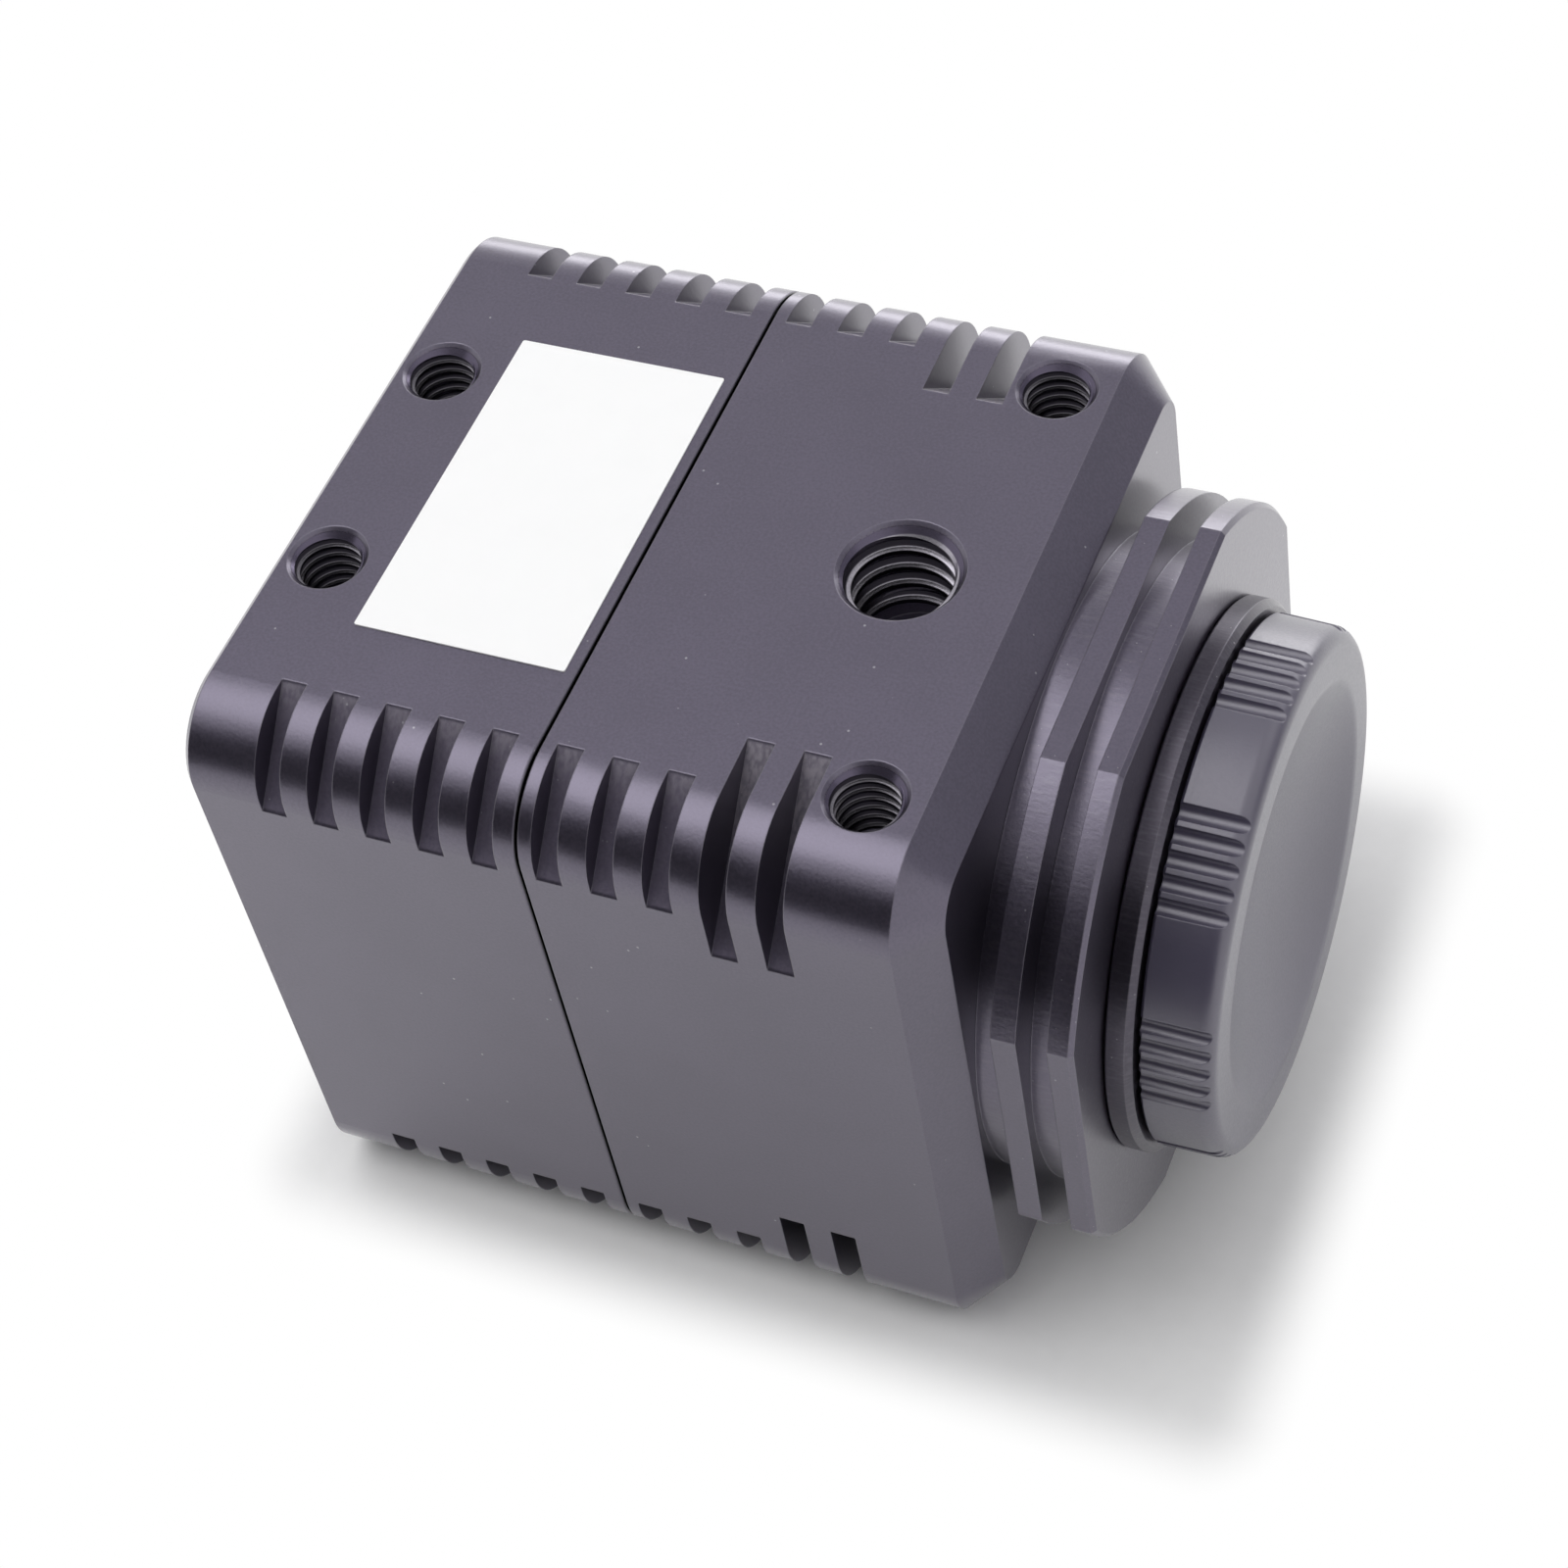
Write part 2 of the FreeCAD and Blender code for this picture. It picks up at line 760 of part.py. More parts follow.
def data_opening():
    half_y = data_width / 2 + data_opening_clearance
    half_z = data_height / 2 + data_opening_clearance
    return rounded_prism(rear_face, cavity_rear, half_y, data_z - half_z, data_z + half_z,
                         data_opening_radius)


def data_lock_holes():
    end = rear_face + data_lock_depth
    return [cylinder_x(data_lock_radius, rear_face, end, side * data_lock_spacing / 2, data_z)
            for side in (-1, 1)]


def data_prism(start, end, inset):
    half_y = data_width / 2
    top = data_height / 2
    notch_y = (data_notch_offset - data_notch_width / 2, data_notch_offset + data_notch_width / 2)
    notch_top = data_notch_height - top
    points = [(-half_y, top), (half_y, top), (half_y, data_bevel - top),
              (half_y - data_bevel, -top), (notch_y[1], -top), (notch_y[1], notch_top),
              (notch_y[0], notch_top), (notch_y[0], -top), (data_bevel - half_y, -top),
              (-half_y, data_bevel - top)]
    vectors = [FreeCAD.Vector(start, y, data_z + z) for y, z in points]
    face = Part.Face(Part.makePolygon(vectors + [vectors[0]]))
    if inset > 0:
        face = face.makeOffset2D(-inset, 2)
    return face.extrude(FreeCAD.Vector(end - start, 0, 0))


def data_shell():
    outer = data_prism(data_front, interface_board_rear, 0.0)
    return outer.cut(data_prism(data_front, interface_board_rear, data_wall))


def data_tongue_spans():
    edge = data_width / 2 - data_wall - data_tongue_to_wall
    beside_notch = data_notch_width / 2 + data_wall + data_tongue_to_wall
    return [(-edge, data_notch_offset - beside_notch), (data_notch_offset + beside_notch, edge)]


def data_insert():
    insert = data_prism(data_floor, interface_board_rear, data_wall + data_insert_clearance)
    levels = (data_z, data_z + data_tongue_thickness)
    front = data_front + data_tongue_setback
    tongues = [block((front, data_floor), span, levels) for span in data_tongue_spans()]
    return insert.fuse(tongues)


def data_contacts():
    solids = []
    ends = (data_floor - data_contact_length, data_floor)
    levels = (data_z - data_contact_thickness, data_z)
    for span in data_tongue_spans():
        centre = (span[0] + span[1]) / 2
        for index in range(data_contacts_per_tongue):
            y = centre + (index - (data_contacts_per_tongue - 1) / 2) * data_contact_pitch
            sides = (y - data_contact_width / 2, y + data_contact_width / 2)
            solids.append(block(ends, sides, levels))
    return Part.makeCompound(solids)


# Round control receptacle

def control_shell():
    flange = cylinder_x(control_flange_radius, control_front, rear_face, control_y, control_z)
    barrel = cylinder_x(control_barrel_radius, rear_face, control_end, control_y, control_z)
    bore = cylinder_x(control_bore_radius, control_front, control_end, control_y, control_z)
    key_low = control_z + control_bore_radius - control_key_height
    key_high = control_z + (control_bore_radius + control_barrel_radius) / 2
    key_sides = (control_y - control_key_width / 2, control_y + control_key_width / 2)
    key = block((control_front, control_insert_front), key_sides, (key_low, key_high))
    return flange.fuse(barrel).cut(bore).fuse(key)


def control_insert():
    radius = control_bore_radius - control_insert_clearance
    body = cylinder_x(radius, control_insert_front, control_end, control_y, control_z)
    return body.cut(control_pin_solids())


def control_pin_solids():
    start = control_insert_front - control_pin_length
    rings = [(control_outer_pins, control_outer_pin_circle),
             (control_inner_pins, control_inner_pin_circle)]
    solids = []
    for count, circle in rings:
        for index in range(count):
            turn = math.radians(90 + 360.0 * (index + 0.5) / count)
            y = control_y + circle * math.cos(turn)
            z = control_z + circle * math.sin(turn)
            solids.append(cylinder_x(control_pin_radius, start, interface_board_rear, y, z))
    return solids


def control_pins():
    return Part.makeCompound(control_pin_solids())


def control_nut():
    start = cavity_rear
    end = start + control_nut_thickness
    nut = hexagon_prism(control_nut_across_flats, start, end, control_y, control_z)
    hole = control_barrel_radius + screw_fit_clearance
    return nut.cut(cylinder_x(hole, start, end, control_y, control_z))


# Status light and label

def status_light():
    pipe = cylinder_x(light_radius, rear_face - light_rise, cavity_rear, light_y, light_z)
    flange_end = cavity_rear + light_flange_thickness
    flange = cylinder_x(light_flange_radius, cavity_rear, flange_end, light_y, light_z)
    guide = cylinder_x(light_radius, flange_end, interface_board_rear, light_y, light_z)
    return pipe.fuse([flange, guide]).removeSplitter()


def label():
    end = rear_shell_end - label_to_joint
    sides = (label_side_offset - label_width / 2, label_side_offset + label_width / 2)
    levels = (body_height, body_height + label_thickness)
    return block((end - label_length, end), sides, levels)


def main():
    sockets, plugs = board_links()
    pieces = {
        "rear_cover": rear_cover(),
        "front_housing": front_housing(),
        "c_mount_ring": mount_ring(),
        "dust_cap": dust_cap(),
        "filter_glass": filter_glass(),
        "filter_retainer": filter_retainer(),
        "sensor_gasket": sensor_gasket(),
        "sensor_package": sensor_package(),
        "sensor_die": sensor_die(),
        "sensor_window": sensor_window(),
        "sensor_board": board(sensor_board_rear),
        "processor_board": board(processor_board_rear),
        "interface_board": board(interface_board_rear),
        "processor_chip": processor_chip(),
        "memory_chips": memory_chips(),
        "board_sockets": sockets,
        "board_plugs": plugs,
        "front_spacers": front_spacers(),
        "rear_spacers": rear_spacers(),
        "board_screws": board_screws(),
        "power_inductors": power_inductors(),
        "capacitors": capacitors(),
        "housing_screws": housing_screws(),
        "data_shell": data_shell(),
        "data_insert": data_insert(),
        "data_contacts": data_contacts(),
        "control_shell": control_shell(),
        "control_insert": control_insert(),
        "control_pins": control_pins(),
        "control_nut": control_nut(),
        "status_light": status_light(),
        "label": label(),
    }
    os.makedirs("parts", exist_ok=True)
    for name, shape in pieces.items():
        shape.exportStep("parts/" + name + ".step")
        print(name, "solids", len(shape.Solids), "valid", shape.isValid(),
              "volume", round(shape.Volume, 2))


main()
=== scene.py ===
import json
import logging
import math
from dataclasses import dataclass
from enum import Enum

import bpy
from mathutils import Euler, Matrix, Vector


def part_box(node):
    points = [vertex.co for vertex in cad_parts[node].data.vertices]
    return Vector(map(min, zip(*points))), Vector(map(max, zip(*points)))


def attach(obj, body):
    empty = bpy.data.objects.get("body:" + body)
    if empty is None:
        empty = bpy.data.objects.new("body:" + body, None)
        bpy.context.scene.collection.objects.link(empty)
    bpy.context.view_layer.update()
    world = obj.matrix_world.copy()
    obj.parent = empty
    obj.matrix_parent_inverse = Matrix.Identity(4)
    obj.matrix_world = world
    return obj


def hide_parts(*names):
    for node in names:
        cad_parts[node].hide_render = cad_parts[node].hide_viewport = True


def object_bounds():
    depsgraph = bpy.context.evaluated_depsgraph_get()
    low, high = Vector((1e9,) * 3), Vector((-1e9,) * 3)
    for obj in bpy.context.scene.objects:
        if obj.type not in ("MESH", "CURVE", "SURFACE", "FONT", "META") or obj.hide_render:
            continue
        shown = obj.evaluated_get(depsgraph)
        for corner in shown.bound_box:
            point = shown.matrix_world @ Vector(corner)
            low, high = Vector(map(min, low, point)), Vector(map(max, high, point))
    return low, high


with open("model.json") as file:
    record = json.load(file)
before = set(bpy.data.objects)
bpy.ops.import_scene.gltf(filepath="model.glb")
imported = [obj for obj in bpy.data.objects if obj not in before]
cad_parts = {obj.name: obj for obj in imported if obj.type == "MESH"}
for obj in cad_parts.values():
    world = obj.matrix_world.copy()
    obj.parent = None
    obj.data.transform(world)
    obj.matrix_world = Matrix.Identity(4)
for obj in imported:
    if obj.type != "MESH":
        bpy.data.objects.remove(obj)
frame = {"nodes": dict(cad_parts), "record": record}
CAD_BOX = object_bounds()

log = logging.getLogger("camera_scene")

# A millimetre in metres, then sizes in millimetres and the sides of round cutters
MM = 0.001
AXIS_HEIGHT = 20.0
MERGE_REACH = 0.002
CUTTER_SIDES = 96


class Body(Enum):
    """The frame's two bodies."""

    CAMERA = "camera"
    CAP = "cap"


class Slot(Enum):
    """The record's material slots."""

    SHELL = "anodised_shell"
    RING = "anodised_ring"
    CAP = "cap_plastic"
    GLASS = "optical_glass"
    RUBBER = "gasket_rubber"
    CERAMIC = "sensor_ceramic"
    SILICON = "sensor_silicon"
    BOARD = "circuit_board"
    CHIP = "chip_plastic"
    INSERT = "connector_plastic"
    BRASS = "spacer_brass"
    SCREW = "screw_steel"
    CAN = "component_can"
    NICKEL = "connector_metal"
    GOLD = "contact_metal"
    LIGHT = "light_plastic"
    FILM = "label_film"


class Direction(Enum):
    """The way a hole's mouth or a boss's end points."""

    UP = 0.0
    FORWARD = math.pi / 2
    BACKWARD = -math.pi / 2

    def turn(self) -> Euler:
        """Turns a piece made along +Z to this direction."""
        return Euler((0.0, self.value, 0.0))


# Work with objects and meshes

def start_fresh() -> None:
    """Leaves edit mode and deselects every object."""
    if bpy.context.object and bpy.context.object.mode != "OBJECT":
        bpy.ops.object.mode_set(mode="OBJECT")
    bpy.ops.object.select_all(action="DESELECT")


def make_active(piece: bpy.types.Object) -> None:
    """Selects one object alone and makes it active.

    Args:
        piece: the object.
    """
    start_fresh()
    piece.select_set(True)
    bpy.context.view_layer.objects.active = piece


def apply_modifiers(piece: bpy.types.Object) -> None:
    """Applies every modifier of a piece, in order.

    Args:
        piece: the object with its modifiers.
    """
    make_active(piece)
    for modifier in list(piece.modifiers):
        bpy.ops.object.modifier_apply(modifier=modifier.name)


def settle(piece: bpy.types.Object) -> None:
    """Moves a piece's place, turn and scale into its mesh."""
    make_active(piece)
    bpy.ops.object.transform_apply(location=True, rotation=True, scale=True)


def smooth(piece: bpy.types.Object, degrees: float = 35.0) -> None:
    """Shades a piece smooth, with edges over the given angle left sharp."""
    make_active(piece)
    bpy.ops.object.shade_smooth_by_angle(angle=math.radians(degrees))


def point_outwards(piece: bpy.types.Object) -> None:
    """Merges doubles and turns a closed mesh's faces outwards.

    Args:
        piece: a closed object.
    """
    make_active(piece)
    bpy.ops.object.mode_set(mode="EDIT")
    bpy.ops.mesh.select_all(action="SELECT")
    bpy.ops.mesh.remove_doubles(threshold=MERGE_REACH * MM)
    bpy.ops.mesh.normals_make_consistent(inside=False)
    bpy.ops.object.mode_set(mode="OBJECT")


def cut_away(piece: bpy.types.Object, cutter: bpy.types.Object) -> None:
    """Cuts a closed cutter out of a piece and deletes the cutter.

    Args:
        piece: the object that is cut.
        cutter: the closed object that cuts it.
    """
    modifier = piece.modifiers.new("cut", "BOOLEAN")
    modifier.operation = "DIFFERENCE"
    modifier.solver = "EXACT"
    modifier.object = cutter
    apply_modifiers(piece)
    mesh = cutter.data
    bpy.data.objects.remove(cutter)
    bpy.data.meshes.remove(mesh)


def copy_of(piece: bpy.types.Object) -> bpy.types.Object:
    """Copies a piece with a mesh of its own.

    Args:
        piece: the object to copy.

    Returns:
        The copy.
    """
    twin = piece.copy()
    twin.data = piece.data.copy()
    bpy.context.collection.objects.link(twin)
    return twin


def join(pieces: list[bpy.types.Object]) -> bpy.types.Object:
    """Joins several objects into the first.

    Args:
        pieces: the objects, the one that stays first.

    Returns:
        The joined object.
    """
    make_active(pieces[0])
    for piece in pieces:
        piece.select_set(True)
    bpy.ops.object.join()
    return bpy.context.object


def turn_profile(stations: list[tuple[float, float]], sides: int) -> bpy.types.Object:
    """Draws out a round solid along +Z, station by station, as on a lathe.

    Args:
        stations: height and radius of each step, in millimetres.
        sides: the number of sides of the round.

    Returns:
        A closed object.
    """
    start_fresh()
    (height, radius), *rest = stations
    bpy.ops.mesh.primitive_circle_add(vertices=sides, radius=radius * MM, fill_type="NGON",
                                      location=(0.0, 0.0, height * MM))
    piece = bpy.context.object
    settle(piece)
    bpy.ops.object.mode_set(mode="EDIT")
    bpy.ops.mesh.select_all(action="SELECT")
    for next_height, next_radius in rest:
        step = (0.0, 0.0, (next_height - height) * MM)
        bpy.ops.mesh.extrude_region_move(TRANSFORM_OT_translate={"value": step})
        ratio = next_radius / radius
        bpy.ops.transform.resize(value=(ratio, ratio, 1.0),
                                 center_override=(0.0, 0.0, next_height * MM))
        height, radius = next_height, next_radius
    bpy.ops.object.mode_set(mode="OBJECT")
    point_outwards(piece)
    return piece


def weigh_normals(piece: bpy.types.Object) -> None:
    """Keeps flat faces flat where a round meets them.

    Args:
        piece: an object that is shaded smooth.
    """
    weighted = piece.modifiers.new("weighted", "WEIGHTED_NORMAL")
    weighted.keep_sharp = True
    apply_modifiers(piece)


def arc(centre: tuple[float, float], radius: float, start: float, end: float,
        steps: int) -> list[tuple[float, float]]:
    """Stations on an arc, its angles in degrees from +Z towards the radius.

    Args:
        centre: height and radius of the arc's centre, in millimetres.
        radius: the arc's own radius, in millimetres.
        start: the first angle.
        end: the last angle.
        steps: the number of equal steps.

    Returns:
        Height and radius of each station.
    """
    angles = [math.radians(start + (end - start) * step / steps) for step in range(steps + 1)]
    return [(centre[0] + radius * math.cos(angle), centre[1] + radius * math.sin(angle))
            for angle in angles]


def paint(piece: bpy.types.Object, material: bpy.types.Material) -> None:
    """Gives a whole object one material."""
    piece.data.materials.clear()
    piece.data.materials.append(material)


def finish_piece(piece: bpy.types.Object, name: str, body: Body,
                 material: bpy.types.Material) -> None:
    """Names a piece, paints it and sets it on its body.

    Args:
        piece: the finished object, with its place in its mesh.
        name: the piece's name.
        body: the body that it moves with.
        material: the finish it wears.
    """
    piece.name = name
    piece.data.name = name
    paint(piece, material)
    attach(piece, body.value)
    log.info("%s: %d faces on body %s", name, len(piece.data.polygons), body.value)


# Node sheets

Socket = bpy.types.NodeSocket
Colour = tuple[float, float, float]
Band = tuple[float, float]

# The colour sockets of a mixing node
MIXED_COLOURS = (6, 7)
MIXED_RESULT = 2

# What the finishes share: bands of noise and of an edge's turn, a speck's core, the samples
# that round an edge, and the millimetres over which a mask ends
GRAIN_BAND: Band = (0.3, 0.7)
EDGE_BAND: Band = (0.995, 0.85)
SPECK_CORE = 0.6
ROUNDING_SAMPLES = 6
SHARP_END = 0.05
SOFT_END = 0.1
SLOW_END = 0.3


def scaled(colour: Colour, factor: float) -> Colour:
    """A colour made lighter or darker."""
    return tuple(min(1.0, factor * part) for part in colour)


class NodeSheet:
    """A node tree, with short ways to add its nodes."""

    def __init__(self, tree: bpy.types.NodeTree) -> None:
        """Empties the tree.

        Args:
            tree: the node tree to write.
        """
        self.nodes = tree.nodes
        self.links = tree.links
        self.nodes.clear()

    def add(self, kind: str, inputs: dict | None = None, **settings: object) -> bpy.types.Node:
        """Adds a node.

        Args:
            kind: the node's type name.
            inputs: values or sockets by input name or number.
            settings: the node's own attributes.

        Returns:
            The new node.
        """
        node = self.nodes.new(kind)
        for key, value in settings.items():
            setattr(node, key, value)
        for key, value in (inputs or {}).items():
            if isinstance(value, Socket):
                self.links.new(value, node.inputs[key])
            else:
                node.inputs[key].default_value = value
        return node

    def maths(self, operation: str, first: object, second: object = 0.0) -> Socket:
        """Combines two numbers or sockets by a maths node."""
        node = self.add("ShaderNodeMath", {0: first, 1: second}, operation=operation)
        return node.outputs["Value"]

    def seen_directly(self) -> Socket:
        """Marks the rays of the camera, of gloss and through glass.

        Returns:
            A socket that is 1 for those rays.
        """
        path = self.add("ShaderNodeLightPath").outputs
        either = self.maths("MAXIMUM", path["Is Camera Ray"], path["Is Glossy Ray"])
        return self.maths("MAXIMUM", either, path["Is Transmission Ray"])


class SurfaceSheet(NodeSheet):
    """A material's node tree, written from the surface's own place in millimetres."""

    def __init__(self, name: str) -> None:
        """Starts an empty material with its output node.

        Args:
            name: the material's name.
        """
        self.material = bpy.data.materials.new(name)
        self.material.use_nodes = True
        super().__init__(self.material.node_tree)
        self.output = self.add("ShaderNodeOutputMaterial")
        coordinates = self.add("ShaderNodeTexCoord")
        mapping = self.add("ShaderNodeMapping", {"Vector": coordinates.outputs["Object"],
                                                 "Location": (0.0, 0.0, -AXIS_HEIGHT),
                                                 "Scale": (1 / MM, 1 / MM, 1 / MM)})
        self.place = mapping.outputs["Vector"]
        split = self.add("ShaderNodeSeparateXYZ", {0: self.place})
        self.along, self.across, self.up = split.outputs

    def range(self, value: Socket, low: float, high: float, to_low: float = 0.0,
              to_high: float = 1.0) -> Socket:
        """Maps a value's range to another, smoothly and within its limits.

        Args:
            value: the socket to map.
            low: the value that becomes to_low.
            high: the value that becomes to_high; it may be less than low.
            to_low: the result at low and before it.
            to_high: the result at high and past it.

        Returns:
            The mapped socket.
        """
        node = self.add("ShaderNodeMapRange", {"Value": value, "From Min": low, "From Max": high,
                                               "To Min": to_low, "To Max": to_high},
                        interpolation_type="SMOOTHSTEP")
        return node.outputs["Result"]

    def noise(self, scale: float, detail: float = 3.0, where: Socket | None = None) -> Socket:
        """Adds noise.

        Args:
            scale: cells per millimetre.
            detail: the number of finer layers.
            where: the point that is read, the surface's own by default.

        Returns:
            The noise, from 0 to 1.
        """
        node = self.add("ShaderNodeTexNoise", {"Vector": where or self.place, "Scale": scale,
                                               "Detail": detail})
        return node.outputs["Fac"]

    def stretched(self, factors: tuple[float, float, float]) -> Socket:
        """The surface point, with each axis stretched by a factor."""
        return self.add("ShaderNodeMapping", {"Vector": self.place,
                                              "Scale": factors}).outputs["Vector"]

    def specks(self, scale: float, size: float) -> Socket:
        """A mask of small round specks.

        Args:
            scale: cells per millimetre.
            size: a speck's radius as a share of its cell.

        Returns:
            A socket that is 1 inside the specks.
        """
        cells = self.add("ShaderNodeTexVoronoi", {"Vector": self.place, "Scale": scale})
        return self.range(cells.outputs["Distance"], size, size * SPECK_CORE)

    def mix(self, factor: Socket, first: object, second: object) -> Socket:
        """Mixes two colours by a factor.

        Args:
            factor: how far the second colour covers the first.
            first: a colour or socket.
            second: a colour or socket.

        Returns:
            The mixed colour.
        """
        node = self.add("ShaderNodeMix", data_type="RGBA")
        self.links.new(factor, node.inputs[0])
        for index, value in zip(MIXED_COLOURS, (first, second)):
            if isinstance(value, Socket):
                self.links.new(value, node.inputs[index])
            else:
                node.inputs[index].default_value = (*value, 1.0)
        return node.outputs[MIXED_RESULT]

    def product(self, *factors: object) -> Socket:
        """Multiplies numbers or sockets.

        Args:
            factors: the numbers or sockets.

        Returns:
            Their product.
        """
        result = factors[0]
        for factor in factors[1:]:
            result = self.maths("MULTIPLY", result, factor)
        return result

    def total(self, *parts: object) -> Socket:
        """Adds numbers or sockets.

        Args:
            parts: the numbers or sockets.

        Returns:
            Their sum.
        """
        result = parts[0]
        for part in parts[1:]:
            result = self.maths("ADD", result, part)
        return result

    def bump(self, height: Socket, strength: float, distance: float,
             normal: Socket | None = None) -> Socket:
        """Bumps the surface.

        Args:
            height: the relief, from 0 to 1.
            strength: how much of the bump shows.
            distance: the relief's height in millimetres.
            normal: the normal to start from, the mesh's own by default.

        Returns:
            The bumped normal.
        """
        inputs = {"Height": height, "Strength": strength, "Distance": distance * MM}
        if normal is not None:
            inputs["Normal"] = normal
        return self.add("ShaderNodeBump", inputs).outputs["Normal"]

    def rounded(self, radius: float) -> Socket:
        """A normal that rounds the mesh's edges, its radius in millimetres."""
        return self.add("ShaderNodeBevel", {"Radius": radius * MM},
                        samples=ROUNDING_SAMPLES).outputs["Normal"]

    def edge_mask(self, rounded: Socket) -> Socket:
        """Finds the edges.

        Args:
            rounded: a normal that rounds them.

        Returns:
            A mask that is 1 on edges.
        """
        plain = self.add("ShaderNodeNewGeometry").outputs["True Normal"]
        product = self.add("ShaderNodeVectorMath", {0: rounded, 1: plain},
                           operation="DOT_PRODUCT")
        return self.range(product.outputs["Value"], *EDGE_BAND)

    def surface(self, inputs: dict) -> bpy.types.Material:
        """Ends the sheet with a principled surface.

        Args:
            inputs: the shader's values or sockets by input name.

        Returns:
            The material.
        """
        shader = self.add("ShaderNodeBsdfPrincipled", inputs)
        self.links.new(shader.outputs["BSDF"], self.output.inputs["Surface"])
        return self.material


# Finishes

@dataclass(frozen=True)
class Dust:
    """Specks of dust: cells per millimetre, a speck's share of its cell, and its strength."""

    scale: float
    size: float
    strength: float


@dataclass(frozen=True)
class BlastedAnodise:
    """Bead-blasted black anodising, rough in the slots and with turned marks on round parts; the
    slots' floors carry painted light and shade, and the joint line carries painted shade.

    Places and sizes are in millimetres, scales in cells per millimetre. A band holds the two
    values between which a mask or a tone changes.
    """

    name: str = "blasted_anodise"
    colour: Colour = (0.107, 0.093, 0.136)
    worn_colour: Colour = (0.26, 0.25, 0.28)
    cut_colour: Colour = (0.27, 0.25, 0.29)
    dust_colour: Colour = (0.42, 0.41, 0.44)
    # How dark the painted shade in the joint line is, as a share of the colour
    seam_painted_shade: float = 0.15
    metallic: float = 0.9
    cut_metallic: float = 0.05
    gloss: float = 0.5
    cut_gloss: float = 0.15
    roughness: float = 0.34
    roughness_spread: float = 0.03
    cut_roughness: float = 0.2
    skin: float = 1.0
    skin_roughness: float = 0.27
    grain: float = 0.012
    grain_scale: float = 6.0
    grain_strength: float = 0.5
    cut_grain: float = 0.035
    tone_scale: float = 0.15
    tone_share: float = 0.3
    tone_band: Band = (0.35, 0.65)
    tone_spread: float = 0.08
    wear: float = 0.35
    edge_radius: float = 0.10
    neck_start: float = 20.4
    mark_stretch: tuple[float, float, float] = (0.9, 2.0, 95.0)
    mark_scale: float = 0.9
    mark_band: Band = (0.45, 0.75)
    mark_wear: float = 0.12
    mark_grain: float = 1.2
    round_reaches: Band = (17.6, 19.8)
    half_width: float = 20.0
    corner_radius: float = 4.4
    slot_span: Band = (-16.3, 13.0)
    slot_inset: float = 7.9
    # Painted light on the slots' floors: the band across which it falls off, and the painted shade
    # left at their lower ends
    slot_painted_light_band: Band = (17.2, 13.8)
    slot_painted_shade: float = 0.12
    slot_depths: Band = (0.04, 0.2)
    floor_turn: Band = (0.6, 0.3)
    chatter_scale: float = 2.2
    chatter_stretch: tuple[float, float, float] = (2.0, 1.0, 1.0)
    chatter_band: Band = (0.3, 0.65)
    chatter_shade: float = 0.4
    seam: float = -1.40
    seam_half_width: float = 0.09
    seam_end: float = 0.03
    dust: Dust = Dust(0.5, 0.042, 0.55)
    lint: Dust = Dust(1.5, 0.06, 0.6)

    def _slots(self, sheet: SurfaceSheet) -> Socket:
        """The cooling slots across the long edges.

        Args:
            sheet: the material's node sheet.

        Returns:
            A mask that is 1 on the slots' floors.
        """
        inner = self.half_width - self.corner_radius
        side = sheet.maths("SUBTRACT", sheet.maths("ABSOLUTE", sheet.across), inner)
        rise = sheet.maths("SUBTRACT", sheet.maths("ABSOLUTE", sheet.up), inner)
        squares = [sheet.maths("POWER", sheet.maths("MAXIMUM", value, 0.0), 2.0)
                   for value in (side, rise)]
        corner = sheet.maths("SQRT", sheet.total(*squares))
        flat = sheet.maths("MINIMUM", sheet.maths("MAXIMUM", side, rise), 0.0)
        depth = sheet.maths("SUBTRACT", self.corner_radius, sheet.total(corner, flat))
        start, end = self.slot_span
        lengthwise = sheet.product(sheet.range(sheet.along, start, start + SOFT_END),
                                   sheet.range(sheet.along, end, end - SOFT_END))
        reach = self.corner_radius - self.slot_inset
        across = sheet.range(sheet.maths("MINIMUM", side, rise), reach, reach + SOFT_END)
        facing = sheet.add("ShaderNodeSeparateXYZ", {
            0: sheet.add("ShaderNodeNewGeometry").outputs["True Normal"]})
        floors = sheet.range(sheet.maths("ABSOLUTE", facing.outputs[0]), *self.floor_turn)
        return sheet.product(sheet.range(depth, *self.slot_depths), lengthwise, across, floors)

    def _bare_and_painted_light(self, sheet: SurfaceSheet, cuts: Socket, chatter: Socket) -> Socket:
        """The saw's bare marks on the slots' floors, with painted light: lighter at their top ends
        and darkening, as painted shade, down the side.

        Args:
            sheet: the material's node sheet.
            cuts: the mask of the slots' floors.
            chatter: the noise of the saw's marks.

        Returns:
            A mask that is 1 where the floor is barest and the painted light is brightest.
        """
        # Painted light and shade: the floor is lighter at its top end and darker towards the side
        fade = sheet.range(sheet.maths("ABSOLUTE", sheet.across), *self.slot_painted_light_band,
                           self.slot_painted_shade, 1.0)
        return sheet.product(cuts, sheet.range(chatter, *self.chatter_band,
                                               self.chatter_shade, 1.0), fade)

    def _neck(self, sheet: SurfaceSheet) -> Socket:
        """A mask that is 1 from the neck's start on."""
        return sheet.range(sheet.along, self.neck_start, self.neck_start + SLOW_END)

